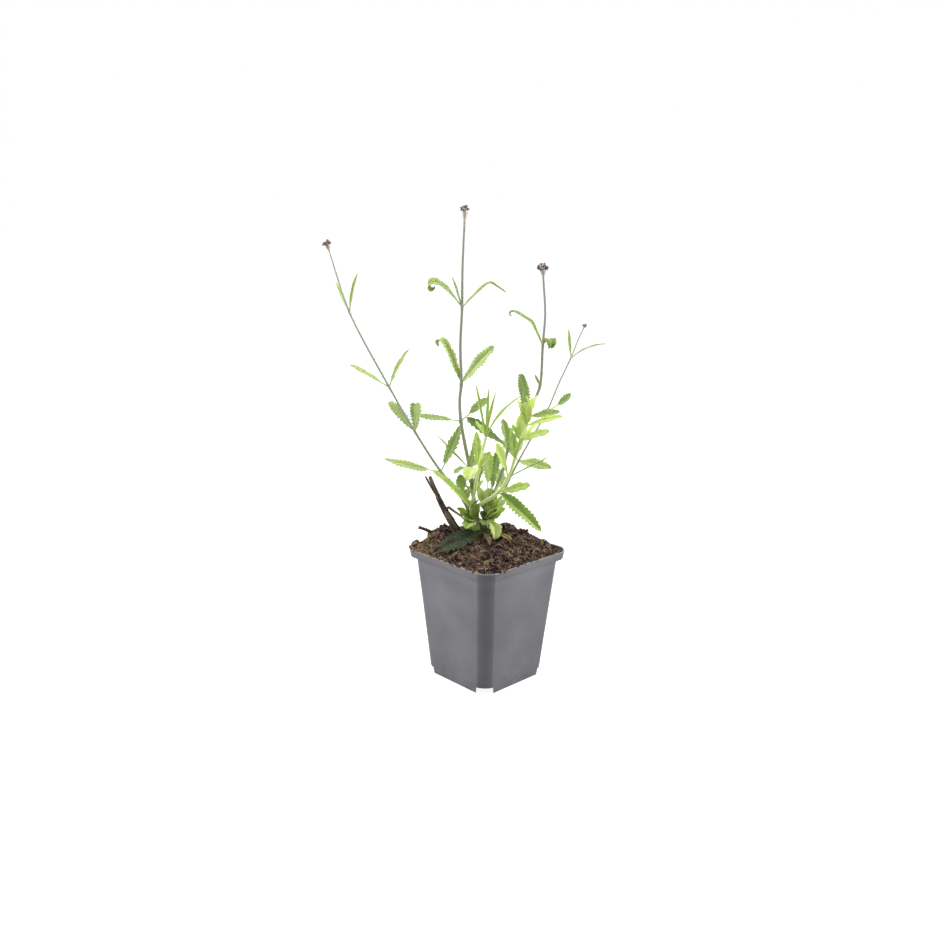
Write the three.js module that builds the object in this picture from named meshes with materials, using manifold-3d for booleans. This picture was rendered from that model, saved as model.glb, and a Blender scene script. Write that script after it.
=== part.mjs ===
// A young purpletop verbena in a square 9 cm nursery pot: four wiry flowering stems, a branched young
// shoot, a low leafy shoot, a dead woody stub, a dead twig and dead leaves, standing in peat.
// Millimetres, +Z up, origin at the centre of the pot's underside, its flat sides square to X and Y.
import * as THREE from "three";
import { mergeVertices } from "three/addons/utils/BufferGeometryUtils.js";
import Module from "manifold-3d";

const wasm = await Module();
wasm.setup();

// ---------------------------------------------------------------- driving dimensions

const POT = {
  height: 100,
  rimSide: 90, // across the flats, over the collar at the rim
  rimCorner: 12,
  rimDrop: 6.2, // height of the collar
  rimLean: 1.6, // how much narrower the collar is at its foot
  rimEase: 0.8, // how much narrower it is on top, past its rounded edge
  rimEdge: 0.7, // height of that edge
  bodySide: 81.6, // across the flats, just under the rim
  bodyCorner: 11,
  footSide: 65,
  footCorner: 9.1,
  wall: 1.0,
  lip: 1.3, // thickness of the collar
  notch: 4.9, // height of the cut-out at each bottom corner
  pocket: 20, // side of the block that cuts it, more than the corner takes
  drainRadius: 3.2,
  drainInset: 1, // of each drain hole's middle from the middle of the foot's corner
};
const RIM_FOOT = POT.height - POT.rimDrop;
const COLLAR = [POT.rimSide - POT.rimLean, POT.rimCorner]; // size and corner at the collar's foot
const SOIL = {
  gap: 0.3, // round the soil, so that pot and soil don't overlap
  edge: 98.4, // height where it meets the pot's wall at the front
  back: 2.2, // how much higher that is at the back
  mound: 8.5, // how far its middle stands above its edge
  across: 43.4, // half its width where the mound starts
  heaps: [[-34, 17, 5.5, 14], [15, 22, 4.5, 9], [28, 19, 2, 7]], // x, y, height and width of each heap
  crumbs: 1.2, // height of its largest lumps
  holeGap: 0.3, // round each stem in its hole
  floor: 97, // height of the bottom of the holes
};
const LEAF = {
  thick: 0.62,
  least: 0.3, // half the width of its tip
  stalk: 0.9, // least width of the stalk
  stalkShare: 0.14, // width of the stalk as a share of the blade's
  kink: 0.07, // share of the length over which half a kink is spread
  rib: 0.3, // how far the midrib stands out of the underside
  tooth: 0.15, // share of the half width that a tooth stands out, and the notch behind it goes in
  hook: 0.35, // share of the tooth's spacing that its point leans forward
  toothed: [0.08, 0.95], // shares of the length where the teeth start, at the soonest, and end
  bends: 4, // steps in which it bends between two stations
};
const PLANT_TURN = 45; // degrees: the shoots are laid out with x along the pot's diagonal

const rad = THREE.MathUtils.degToRad;
const vec = (x, y, z) => new THREE.Vector3(x, y, z);

// ---------------------------------------------------------------- the plant
// x runs across the pot's diagonal, y away from the viewer and z up.
// A stem is the points of its line, from its foot in the soil to its tip, and its half thickness at both.
// Each leaf springs from the stem point numbered `at`:
//   to     compass of the leaf, 0 along x and 90 along y          rise   how steeply it climbs on average
//   droop  how far it bends over, evenly                          curl   how far its end bends besides
//   from   share of the length where the curl starts              fold   how far each half is tilted up
//   kink   a sharper bend, at the share kinkAt of the length      roll   turn about its own line
//   neck   share of the length that is only a stalk               swell  above 1, widest nearer its tip
//   full   under 1, blunter than a sine's half wave               teeth  on each edge

const leaf = (at, to, rise, long, wide, more = {}) => ({ at, to, rise, long, wide, ...more });

const SHOOTS = {
  shoot_left: {
    colour: 0x6d8f3c,
    stem: [
      [-12, 5, 97], [-12, 5, 110], [-13, 5, 120], [-17, 4, 134], [-25, 2, 147], [-35, 0, 159],
      [-53.5, -4, 189], [-72, -8, 223], [-99, -12, 276], [-107, -12, 300], [-112, -12, 317],
    ],
    half: [1.3, 0.55],
    leaves: [
      leaf(2, 205, 48, 11, 8, { droop: 15, roll: -35, teeth: 1 }),
      leaf(3, 118, 65, 22, 8.5, { droop: -15, roll: -20, neck: 0.4, teeth: 3 }),
      leaf(5, 208, 20.5, 50, 6.8, { droop: -16, roll: -50, neck: 0.22, swell: 0.8, teeth: 5 }),
      leaf(5, 62, 47, 42, 9, { droop: -14, neck: 0.16, swell: 0.9, teeth: 4 }),
      leaf(6, 138, 33, 37, 7.6, { droop: 8, curl: 30, roll: -36, swell: 1.3, full: 0.5, teeth: 5 }),
      leaf(6, 276, 48, 38, 10, { droop: 10, curl: 25, fold: 36, swell: 1.3, full: 0.5, teeth: 5 }),
      leaf(7, 217, 30, 36, 5.2, { droop: 4, roll: -40, neck: 0.2, teeth: 4 }),
      leaf(7, 57, 49, 34, 3.8, { droop: 24, teeth: 2 }),
      leaf(8, 143, 57, 25, 3, { droop: -8 }),
      leaf(8, 306, 66, 31, 2.7, { droop: 30 }),
    ],
  },
  shoot_tall: {
    colour: 0x6a8c3a,
    stem: [
      [-7, 12, 97], [-7, 12, 110], [-8, 12, 121], [-11, 13, 138], [-14, 14, 158], [-21, 16, 194],
      [-22, 17, 210], [-21, 18, 222], [-22, 20, 250], [-21, 21, 278], [-21, 22, 304], [-20, 24, 337],
    ],
    half: [1.6, 0.85],
    leaves: [
      leaf(2, 130, 30, 22, 9, { droop: 30, teeth: 3 }),
      leaf(3, 200, 72, 20, 8, { droop: 10, roll: -20, teeth: 2 }),
      leaf(3, 20, 70, 23, 10.5, { droop: 10, roll: 10, teeth: 2 }),
      leaf(3, 325, 60, 14, 9.5, { droop: 10, teeth: 1 }),
      leaf(4, 147, 36, 37, 3, { droop: -6 }),
      leaf(4, 215, -8, 14, 8, { droop: 60, neck: 0.1, teeth: 1 }),
      leaf(4, 45, 25, 24, 9, { droop: 10, teeth: 3 }),
      leaf(4, 37, 75, 28, 5.5, { teeth: 2 }),
      leaf(5, 208, 15, 37, 5.6, { droop: -6, roll: -45, neck: 0.2, swell: 1.2, full: 0.5, teeth: 4 }),
      leaf(5, 42, 26, 32, 8, { droop: 8, roll: 25, neck: 0.3, teeth: 3 }),
      leaf(7, 155, 60, 45, 7.5, {
        droop: 15, curl: 180, from: 0.64, fold: 30, roll: -24, full: 0.5, teeth: 5,
      }),
      leaf(7, 322, 44, 41, 10.5, { droop: 8, roll: 66, swell: 1.4, full: 0.38, teeth: 6 }),
      leaf(9, 216, 34, 39, 9.5, { droop: 34, curl: 270, fold: 20, roll: -42, swell: 1.9, teeth: 4 }),
      leaf(9, 24, 37, 44, 3.4, { droop: 14, fold: 35, kink: 62, kinkAt: 0.65, full: 0.5 }),
      leaf(9, 200, 70, 23, 4),
    ],
  },
  shoot_right: {
    colour: 0x6f963c,
    stem: [
      [-1, 9, 97], [-1, 9, 110], [0, 10, 121], [4, 12, 136], [11, 13, 158], [15, 12, 175],
      [28, 11, 199], [33, 10, 211], [37, 9, 223], [38, 6, 253], [39, 5, 275], [37, 4, 300],
    ],
    half: [1.45, 0.8],
    leaves: [
      leaf(2, 85, 45, 26, 11, { droop: 30, teeth: 3 }),
      leaf(2, 60, 60, 22, 11.5, { droop: 10, teeth: 1 }),
      leaf(3, 95, 72, 26, 5.5, { neck: 0.3, teeth: 2 }),
      leaf(5, 152, 29, 41, 9, { roll: -35, swell: 1.7, teeth: 4 }),
      leaf(5, 243, 64, 27, 7.5, { droop: 12, teeth: 2 }),
      leaf(5, 300, 40, 12, 6, { droop: 10, teeth: 1 }),
      leaf(5, 84, 38, 20, 6.5, { teeth: 2 }),
      leaf(6, 255, 59, 41, 8.2, { droop: 6, fold: 20, full: 0.38, teeth: 7 }),
      leaf(6, 2, 8, 25, 8.5, { roll: 32, neck: 0.15, teeth: 4 }),
      leaf(9, 150, 55, 41, 4.2, {
        droop: 12, curl: 170, from: 0.8, fold: 30, kink: 28, kinkAt: 0.48, full: 0.5,
      }),
      leaf(9, 295, 16, 21, 8.5, { droop: 60, curl: 190, from: 0.35, teeth: 3 }),
      leaf(8, 240, 45, 13, 2.4, { droop: -10 }),
    ],
  },
  shoot_far: {
    colour: 0x7a9c45,
    stem: [
      [4, 16, 97], [4, 16, 112], [6, 17, 122], [12, 21, 138], [23, 24, 162], [31, 26, 177],
      [44, 30, 200], [52, 33, 220], [61, 36, 240], [66, 38, 253], [70, 39, 262],
    ],
    half: [1, 0.45],
    leaves: [
      leaf(2, 60, 25, 18, 7, { droop: 40, teeth: 2 }),
      leaf(3, 110, 40, 26, 10, { droop: 20, teeth: 2 }),
      leaf(4, 318, -12, 28, 8.5, { droop: 36, roll: 44, neck: 0, swell: 1.2, teeth: 4 }),
      leaf(4, 130, 30, 26, 7, { teeth: 2 }),
      leaf(6, 345, 47, 26, 7, { droop: -34, roll: 52, neck: 0.36, swell: 1.2, teeth: 3 }),
      leaf(8, 96, 59, 24, 2.4, { droop: -8 }),
      leaf(8, 324, 25, 31, 2.6, { droop: 34, roll: 20 }),
    ],
  },
  shoot_young: {
    colour: 0x9dc243,
    stem: [
      [-10, -3, 97], [-10, -3, 109], [-11, -3, 120], [-12, -3, 132], [-10, -4, 144], [-7, -6, 162],
      [-5, -8, 174], [-2, -10, 188],
    ],
    half: [1.5, 0.95],
    leaves: [
      leaf(2, 250, 0, 13, 11, { droop: 80, teeth: 1 }),
      leaf(2, 300, 66, 19, 8, { teeth: 3 }),
      leaf(2, 185, 45, 17, 9, { roll: -20, teeth: 3 }),
      leaf(3, 203, 46, 43, 9.5, { droop: 6, fold: 25, roll: -35, neck: 0, swell: 0.85, full: 0.4, teeth: 5 }),
      leaf(5, 96, 66, 29, 6.5, { teeth: 3 }),
      leaf(5, 240, -14, 19, 13, { droop: 105, neck: 0.1, teeth: 3 }),
      leaf(5, 300, 50, 18, 6, { teeth: 2 }),
      leaf(7, 230, 72, 42, 2.8),
      leaf(7, 83, 66, 36, 2.4),
      leaf(7, 294, 72, 36, 2.4),
      leaf(7, 332, 48, 40, 3.8, { droop: 38, roll: 45 }),
      leaf(7, 150, 50, 14, 5.5, { teeth: 2 }),
    ],
    branch: {
      stem: [
        [-12, -3, 131], [-2, -5, 138], [8, -7, 146], [15, -9, 158], [19, -10, 171], [23, -10, 185],
        [27, -11, 197], [30, -12, 207],
      ],
      half: [1.3, 0.8],
      leaves: [
        leaf(2, 322, 19, 30, 8, { roll: 50, neck: 0.12, swell: 1.3, full: 0.45, teeth: 2 }),
        leaf(2, 330, -37, 43, 11, { droop: 12, fold: 26, roll: 36, swell: 0.85, full: 0.55, teeth: 6 }),
        leaf(3, 208, 66, 28, 10, { roll: -60, swell: 1.6, teeth: 4 }),
        leaf(3, 335, 31, 36, 3.4),
        leaf(4, 300, 60, 22, 6, { teeth: 2 }),
        leaf(4, 100, 60, 22, 7, { teeth: 3 }),
        leaf(5, 316, 25, 30, 8, { droop: 6, roll: 45, swell: 1.3, full: 0.5, teeth: 2 }),
        leaf(5, 140, 55, 14, 6, { teeth: 1 }),
        leaf(5, 75, 72, 20, 8.5, { full: 0.5, teeth: 1 }),
        leaf(5, 30, 40, 22, 6, { teeth: 2 }),
        leaf(6, 342, 18, 28, 6, { droop: 8, roll: 40, swell: 1.3, teeth: 3 }),
        leaf(6, 215, 66, 22, 6.5, { roll: -50, teeth: 3 }),
        leaf(6, 262, 66, 20, 9, { full: 0.5, teeth: 2 }),
        leaf(7, 0, 72, 13, 6, { teeth: 1 }),
        leaf(7, 80, 60, 11, 5, { teeth: 1 }),
        leaf(7, 200, 72, 13, 4.5),
      ],
    },
  },
  shoot_low: {
    colour: 0x6f9c3a,
    stem: [[-1, 1, 97], [-1, 1, 110], [-1, 1, 119], [0, 2, 126]],
    half: [1.6, 1.2],
    leaves: [
      leaf(2, 310, -30, 21, 11, { droop: 135, fold: 24, roll: -10, swell: 1.3, teeth: 3 }),
      leaf(2, 335, 40, 20, 11, { droop: 20, roll: 45, teeth: 3 }),
      leaf(2, 285, 66, 17, 8, { teeth: 2 }),
      leaf(2, 308, 42, 20, 10, { droop: 30, roll: 25, teeth: 3 }),
      leaf(2, 350, 62, 26, 10, { roll: 30, teeth: 3 }),
      leaf(2, 30, 30, 18, 8, { droop: 30, teeth: 2 }),
      leaf(2, 300, 52, 20, 9, { droop: 10, roll: 20, teeth: 1 }),
      leaf(2, 245, 58, 14, 7, { droop: 10, teeth: 1 }),
      leaf(2, 268, 15, 16, 10, { droop: 80, teeth: 1 }),
      leaf(2, 215, 35, 10, 7, { droop: 15, teeth: 1 }),
      leaf(3, 100, 75, 18, 10.5, { teeth: 1 }),
      leaf(3, 150, 66, 22, 10, { droop: 10, roll: -15, teeth: 1 }),
      leaf(3, 40, 82, 50, 8.5, { roll: 10, neck: 0.5, teeth: 4 }),
      leaf(3, 265, 84, 50, 7.5, { neck: 0.5, teeth: 4 }),
      leaf(3, 345, 70, 30, 5, { teeth: 2 }),
    ],
  },
};

// ---------------------------------------------------------------- solids

// Joins rings of points, each going the same way round, into one closed geometry with flat ends.
// `flip` says on which strips the quads are split along their other diagonal.
function skin(rings, flip = () => false) {
  const count = rings[0].length;
  const points = rings.flat();
  const middles = [rings[0], rings.at(-1)].map((ring) =>
    ring.reduce((sum, p) => sum.add(p), vec(0, 0, 0)).divideScalar(count),
  );
  const faces = [];
  rings.slice(1).forEach((_, row) => {
    for (let k = 0; k < count; k++) {
      const [a, b] = [row * count + k, row * count + ((k + 1) % count)];
      const [c, d] = [a + count, b + count];
      if (flip(k)) faces.push([a, b, c], [b, d, c]);
      else faces.push([a, b, d], [a, d, c]);
    }
  });
  const last = (rings.length - 1) * count;
  for (let k = 0; k < count; k++) {
    const next = (k + 1) % count;
    faces.push([points.length, next, k], [points.length + 1, last + k, last + next]);
  }
  const geometry = new THREE.BufferGeometry().setFromPoints([...points, ...middles]);
  return geometry.setIndex(faces.flat());
}

function solid(geometry) {
  const bare = geometry.clone();
  bare.deleteAttribute("normal");
  bare.deleteAttribute("uv");
  const merged = mergeVertices(bare, 1e-3);
  const made = new wasm.Manifold(
    new wasm.Mesh({
      numProp: 3,
      vertProperties: merged.attributes.position.array,
      triVerts: new Uint32Array(merged.index.array),
    }),
  );
  if (made.volume() > 0) return made;
  for (let i = 0; i < merged.index.count; i += 3) {
    const [b, c] = [merged.index.getX(i + 1), merged.index.getX(i + 2)];
    merged.index.setX(i + 1, c);
    merged.index.setX(i + 2, b);
  }
  return solid(merged);
}

const union = (solids) => wasm.Manifold.union(solids);

function mesh(name, made, colour, roughness = 0.7) {
  const { vertProperties, triVerts } = made.getMesh();
  const geometry = new THREE.BufferGeometry();
  geometry.setAttribute("position", new THREE.BufferAttribute(new Float32Array(vertProperties), 3));
  geometry.setIndex(new THREE.BufferAttribute(new Uint32Array(triVerts), 1));
  const material = new THREE.MeshStandardMaterial({ color: colour, roughness, metalness: 0 });
  const piece = new THREE.Mesh(geometry, material);
  piece.name = name;
  return piece;
}

// A line through the points, sampled `steps` times between each two, with its half thickness.
function smoothLine(stem, half, steps = 2) {
  const points = stem.map((p) => vec(...p));
  const curve = new THREE.CatmullRomCurve3(points, false, "centripetal");
  const count = (points.length - 1) * steps;
  return Array.from({ length: count + 1 }, (_, i) => ({
    at: curve.getPoint(i / count),
    along: curve.getTangent(i / count).normalize(),
    half: THREE.MathUtils.lerp(...half, i / count),
  }));
}

// A tapering stem with a square section, as verbena's is; `half` is half its width across the flats.
function stemSolid({ stem, half }, sides = 4, steps = 2) {
  const reach = 1 / Math.cos(Math.PI / sides);
  const east = vec(1, 0, 0);
  return solid(
    skin(
      smoothLine(stem, half, steps).map(({ at, along, half: h }) => {
        const u = east.clone().addScaledVector(along, -east.dot(along)).normalize();
        const w = along.clone().cross(u);
        return Array.from({ length: sides }, (_, k) => {
          const turn = ((k + 0.5) / sides) * 2 * Math.PI;
          return at
            .clone()
            .addScaledVector(u, h * reach * Math.cos(turn))
            .addScaledVector(w, h * reach * Math.sin(turn));
        });
      }),
    ),
  );
}

// Half the blade's width at the share s of its length: a narrow stalk, then a lance-shaped blade.
function halfWidth(s, { wide, neck = 0.05, swell = 1.1, full = 0.65 }) {
  const u = THREE.MathUtils.clamp((s - neck) / (1 - neck), 0, 1) ** swell;
  const stalk = Math.max(LEAF.stalk, LEAF.stalkShare * wide) * (1 - s / 2);
  return Math.max(stalk, wide * Math.sin(Math.PI * u) ** full) / 2;
}

// The stations along a blade: both edges have a notch and a point for each tooth.
function stations(teeth, neck) {
  const row = (s, tooth = 0, lean = 0) => ({ s, tooth, lean });
  if (!teeth) return [0, 0.15, 0.35, 0.55, 0.75, 0.9, 1].map((s) => row(s));
  const [soonest, end] = LEAF.toothed;
  const start = Math.max(neck, soonest);
  const pitch = (end - start) / teeth;
  const rows = neck > 0.2 ? [row(0), row(neck / 2)] : [row(0)];
  for (let i = 0; i < teeth; i++) {
    rows.push(row(start + i * pitch, -LEAF.tooth));
    rows.push(row(start + (i + 0.5) * pitch, LEAF.tooth, LEAF.hook * pitch));
  }
  return [...rows, row(end, -LEAF.tooth), row(1)];
}

// A blade folded along its midrib, as rings of six points square to it. They start at `root` with the
// directions along the blade, to its side and up from it, which turn as it bends.
function leafSolid(root, spec) {
  const { to, rise, long, droop = 0, curl = 0, from = 0.6, kink = 0, kinkAt = 0.5 } = spec;
  const { fold = 14, roll = 0, neck = 0.05, teeth = 0 } = spec;
  const out = vec(Math.cos(rad(to)), Math.sin(rad(to)), 0);
  const side = out.clone().cross(vec(0, 0, 1));
  const along = out.applyAxisAngle(side, rad(rise + droop / 2));
  side.applyAxisAngle(along, rad(roll));
  const up = side.clone().cross(along);
  const at = root.clone();
  const rings = [];
  const kinked = (share) => THREE.MathUtils.smoothstep(share, kinkAt - LEAF.kink, kinkAt + LEAF.kink);
  let s = 0;
  for (const row of stations(teeth, neck)) {
    const ds = (row.s - s) / LEAF.bends;
    for (let i = 0; i < LEAF.bends && ds > 0; i++) {
      const ramp = Math.max(0, s + ds / 2 - from) / (1 - from);
      const bent = rad(droop + (curl * 2 * ramp) / (1 - from)) * ds;
      const bend = bent + rad(kink) * (kinked(s + ds) - kinked(s));
      along.applyAxisAngle(side, -bend);
      up.applyAxisAngle(side, -bend);
      at.addScaledVector(along, long * ds);
      s += ds;
    }
    const half = Math.max(LEAF.least, halfWidth(row.s, spec) * (1 + row.tooth));
    const deep = LEAF.thick / 2 / Math.cos(rad(fold));
    const point = (across, high) =>
      at
        .clone()
        .addScaledVector(side, across * half * Math.cos(rad(fold)))
        .addScaledVector(up, Math.abs(across) * half * Math.sin(rad(fold)) + high)
        .addScaledVector(along, Math.abs(across) * row.lean * long);
    rings.push([
      point(-1, deep), point(0, deep), point(1, deep),
      point(1, -deep), point(0, -deep - LEAF.rib), point(-1, -deep),
    ]);
  }
  return solid(skin(rings, (k) => k === 3 || k === 4));
}

function shootSolids(shoot) {
  const line = shoot.stem.map((p) => vec(...p));
  const made = [stemSolid(shoot), ...shoot.leaves.map((spec) => leafSolid(line[spec.at], spec))];
  return shoot.branch ? [...made, ...shootSolids(shoot.branch)] : made;
}

// ---------------------------------------------------------------- the pot and the soil

// A square with round corners, as points going round it at one height.
function roundedSquare(side, corner, z, arc = 6, flat = 1) {
  const points = [];
  const c = side / 2 - corner;
  for (let q = 0; q < 4; q++) {
    const turn = (q * Math.PI) / 2;
    const spin = (x, y) => vec(x, y, z).applyAxisAngle(vec(0, 0, 1), turn);
    for (let i = 0; i <= arc; i++) {
      const a = (i / arc) * (Math.PI / 2);
      points.push(spin(c + corner * Math.cos(a), c + corner * Math.sin(a)));
    }
    for (let i = 1; i < flat; i++) points.push(spin(c - (2 * c * i) / flat, side / 2));
  }
  return points;
}

const loft = (levels, inset = 0) =>
  solid(skin(levels.map(([z, side, corner]) => roundedSquare(side - 2 * inset, corner - inset, z))));

// The wall's outer size at a height, on the straight taper from the foot to the rim.
function bodyAt(z) {
  const t = z / RIM_FOOT;
  return [
    z,
    THREE.MathUtils.lerp(POT.footSide, POT.bodySide, t),
    THREE.MathUtils.lerp(POT.footCorner, POT.bodyCorner, t),
  ];
}

// An upright round post, centred on (x, y, z).
const post = (radius, high, x, y, z, sides) =>
  solid(new THREE.CylinderGeometry(radius, radius, high, sides).rotateX(Math.PI / 2).translate(x, y, z));

const CORNERS = [[1, 1], [-1, 1], [-1, -1], [1, -1]];

// A square block and a round post over each bottom corner, for the drain pockets.
function cornerPockets(grow, top) {
  const c = POT.footSide / 2 - POT.footCorner;
  const out = c + POT.pocket / 2 - grow;
  const pockets = CORNERS.map(([x, y]) => {
    const block = new THREE.BoxGeometry(POT.pocket, POT.pocket, top).translate(x * out, y * out, top / 2);
    return union([solid(block), post(POT.footCorner + grow, top, x * c, y * c, top / 2, 24)]);
  });
  return union(pockets);
}

function pot() {
  const outer = union([
    loft([bodyAt(0), bodyAt(RIM_FOOT + POT.wall)]),
    loft([
      [RIM_FOOT, ...COLLAR],
      [POT.height - POT.rimEdge, POT.rimSide, POT.rimCorner],
      [POT.height, POT.rimSide - POT.rimEase, POT.rimCorner],
    ]),
  ]);
  const inside = loft([bodyAt(0), bodyAt(POT.height)], POT.wall).trimByPlane([0, 0, 1], POT.wall);
  const collar = loft(
    [[RIM_FOOT + POT.wall, ...COLLAR], [POT.height + 1, POT.rimSide, POT.rimCorner]],
    POT.lip,
  );
  const c = POT.footSide / 2 - POT.footCorner - POT.drainInset;
  const drains = CORNERS.map(([x, y]) => post(POT.drainRadius, POT.pocket, x * c, y * c, 0, 16));
  return outer
    .subtract(collar)
    .subtract(inside.subtract(cornerPockets(POT.wall, POT.notch + POT.wall)))
    .subtract(cornerPockets(0, POT.notch))
    .subtract(union(drains));
}

// Height of the soil, in the plant's own x and y: higher at the back than at the front, a mound that
// starts at the wall, heaps on it, and crumbs and hollows.
const edgeHeight = (y) => SOIL.edge + SOIL.back * THREE.MathUtils.smoothstep(y, -10, 30);

function soilHeight(x, y) {
  const [p, q] = [(x + y) / Math.SQRT2, (y - x) / Math.SQRT2];
  const outward = (p ** 4 + q ** 4) ** 0.25 / SOIL.across;
  const mound = SOIL.mound * Math.max(0, 1 - outward ** 3);
  const heaps = SOIL.heaps.map(([a, b, high, wide]) => {
    const away = Math.hypot(x - a, y - b) / wide;
    return high * Math.exp(-(away ** 2));
  });
  const crumbs =
    Math.sin(0.31 * x + 0.17 * y + 1) * Math.sin(0.23 * y - 0.11 * x) +
    0.6 * Math.sin(0.53 * x - 0.41 * y + 2) +
    0.45 * Math.sin(0.7 * y + 0.37 * x) * Math.sin(0.6 * x - 0.29 * y + 3);
  return edgeHeight(y) + mound + SOIL.crumbs * crumbs + heaps.reduce((sum, high) => sum + high);
}

function soil() {
  const turn = rad(-PLANT_TURN);
  const level = ([z, side, corner], thick) =>
    roundedSquare(side - 2 * (thick + SOIL.gap), corner - thick - SOIL.gap, z, 4, 7);
  const ledge = RIM_FOOT + POT.wall + SOIL.gap;
  const rim = level([0, ...COLLAR], POT.lip);
  const ring = (share) =>
    rim.map((p) => {
      const q = p.clone().multiplyScalar(share);
      const own = q.clone().applyAxisAngle(vec(0, 0, 1), turn);
      return q.setZ(share < 1 ? soilHeight(own.x, own.y) : edgeHeight(own.y));
    });
  const shares = [1, 0.97, 0.89, 0.79, 0.67, 0.54, 0.41, 0.28, 0.14];
  const body = solid(
    skin([
      level(bodyAt(POT.wall + SOIL.gap), POT.wall),
      level(bodyAt(ledge), POT.wall),
      level([ledge, ...COLLAR], POT.lip),
      ...shares.map(ring),
    ]),
  );
  return body.subtract(cornerPockets(POT.wall + SOIL.gap, POT.notch + POT.wall + SOIL.gap));
}

// The holes that the stems stand in, in the plant's own x and y.
function stemHoles(shapes) {
  const high = POT.height / 2; // more than the soil over their floor
  const holes = shapes.map(({ stem: [[x, y]], half, sides = 4 }) => {
    const radius = half[0] / Math.cos(Math.PI / sides) + SOIL.holeGap;
    return post(radius, high, x, y, SOIL.floor - SOIL.holeGap + high / 2, 10);
  });
  return union(holes);
}

// ---------------------------------------------------------------- the dead wood, dead leaves and heads

const STUB = {
  sides: 6,
  stem: [[-20, -1, 97], [-20, -1, 107], [-26, -2, 119], [-33, -3, 132], [-38, -3, 143], [-43, -4, 156]],
  half: [4.1, 1.15],
};
const STUB_ARMS = [
  { stem: [[-36, -3, 139], [-41, -5, 147], [-46, -8, 157]], half: [1.2, 0.7] },
  { stem: [[-31, -3, 129], [-29, -6, 133], [-25, -8, 131], [-18.5, -9.5, 127]], half: [1.15, 0.8] },
];
const TWIG = {
  sides: 5,
  stem: [[-41, 13, 97], [-41, 13, 103], [-42, 12.5, 107], [-46, 10.5, 110], [-52, 8, 113]],
  half: [1.5, 1.1],
};

const stub = () => union([STUB, ...STUB_ARMS].map((arm) => stemSolid(arm, STUB.sides)));
const twig = () => stemSolid(TWIG, TWIG.sides);

// Leaves that have died: each has its stalk's end as a point, and the rest as a leaf on a shoot.
const DEAD_LEAVES = {
  withered_leaf: {
    colour: 0x4a5a44,
    end: [-2.2, -4, 115.3],
    shape: leaf(0, 208, -19.2, 39.5, 14.5, { droop: 14, fold: 15, roll: -38, neck: 0.08, teeth: 5 }),
  },
  dead_leaf_right: {
    colour: 0xb59a55,
    end: [8, -2, 110.5],
    shape: leaf(0, 330, -10, 12, 6, { droop: 50, curl: 60, fold: 30, roll: 15, teeth: 2 }),
  },
  dead_leaf_front: {
    colour: 0x8d7d4c,
    end: [-2.5, -6, 113],
    shape: leaf(0, 295, -24, 13, 5, { droop: 60, fold: 30, teeth: 2 }),
  },
};

// Each head is a pale neck that carries on its shoot's tip, with dry dark buds crowded round its top.
const HEADS = {
  head_left: { shoot: "shoot_left", neck: 4.5, radius: 3.2, buds: 8 },
  head_tall: { shoot: "shoot_tall", neck: 8.5, radius: 3.5, buds: 8 },
  head_right: { shoot: "shoot_right", neck: 6, radius: 4, buds: 9 },
  head_far: { shoot: "shoot_far", neck: 1, radius: 1.9, buds: 4 },
};
const HEAD = {
  gap: 0.3, // between the shoot's tip and the neck
  cup: 0.45, // as shares of the radius: the neck's top, the middle's height over it,
  lift: 0.3,
  core: 0.52, // the core that joins the buds,
  reach: 0.64, // how far out the buds sit,
  bud: 0.36, // and their size
  spread: 1.25, // over 1, the lowest buds sit below the middle
  turn: rad(137.5), // from each bud to the next, as a daisy's florets are set
};

function head({ shoot, neck, radius, buds }) {
  const [below, tip] = SHOOTS[shoot].stem.slice(-2).map((p) => vec(...p));
  const along = tip.clone().sub(below).normalize();
  const u = vec(1, 0, 0).addScaledVector(along, -along.x).normalize();
  const w = along.clone().cross(u);
  const from = (middle, out, turn, on = 0) =>
    middle
      .clone()
      .addScaledVector(u, out * Math.cos(turn))
      .addScaledVector(w, out * Math.sin(turn))
      .addScaledVector(along, on);
  const stalk = SHOOTS[shoot].half[1];
  const rings = [[0, stalk], [0.5, stalk * 1.2], [1, radius * HEAD.cup]].map(([share, out]) =>
    Array.from({ length: 6 }, (_, k) => from(tip, out, (k * Math.PI) / 3, HEAD.gap + neck * share)),
  );
  const middle = from(tip, 0, 0, HEAD.gap + neck + radius * HEAD.lift);
  const knob = (size, place) => solid(new THREE.IcosahedronGeometry(size, 0).translate(...place));
  const knobs = Array.from({ length: buds }, (_, i) => {
    const cosine = 1 - (HEAD.spread * (i + 0.3)) / buds;
    const reach = HEAD.reach * radius;
    const place = from(middle, reach * Math.sqrt(1 - cosine ** 2), i * HEAD.turn, reach * cosine);
    return knob(HEAD.bud * radius * (1 + 0.12 * Math.sin(5 * i)), place); // no two alike
  });
  return union([solid(skin(rings)), knob(HEAD.core * radius, middle), ...knobs]);
}

// ---------------------------------------------------------------- assembly

const group = new THREE.Group();
const plant = new THREE.Group();
plant.rotation.z = rad(PLANT_TURN);
group.add(plant);

const spun = (made) => made.rotate([0, 0, PLANT_TURN]);

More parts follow.
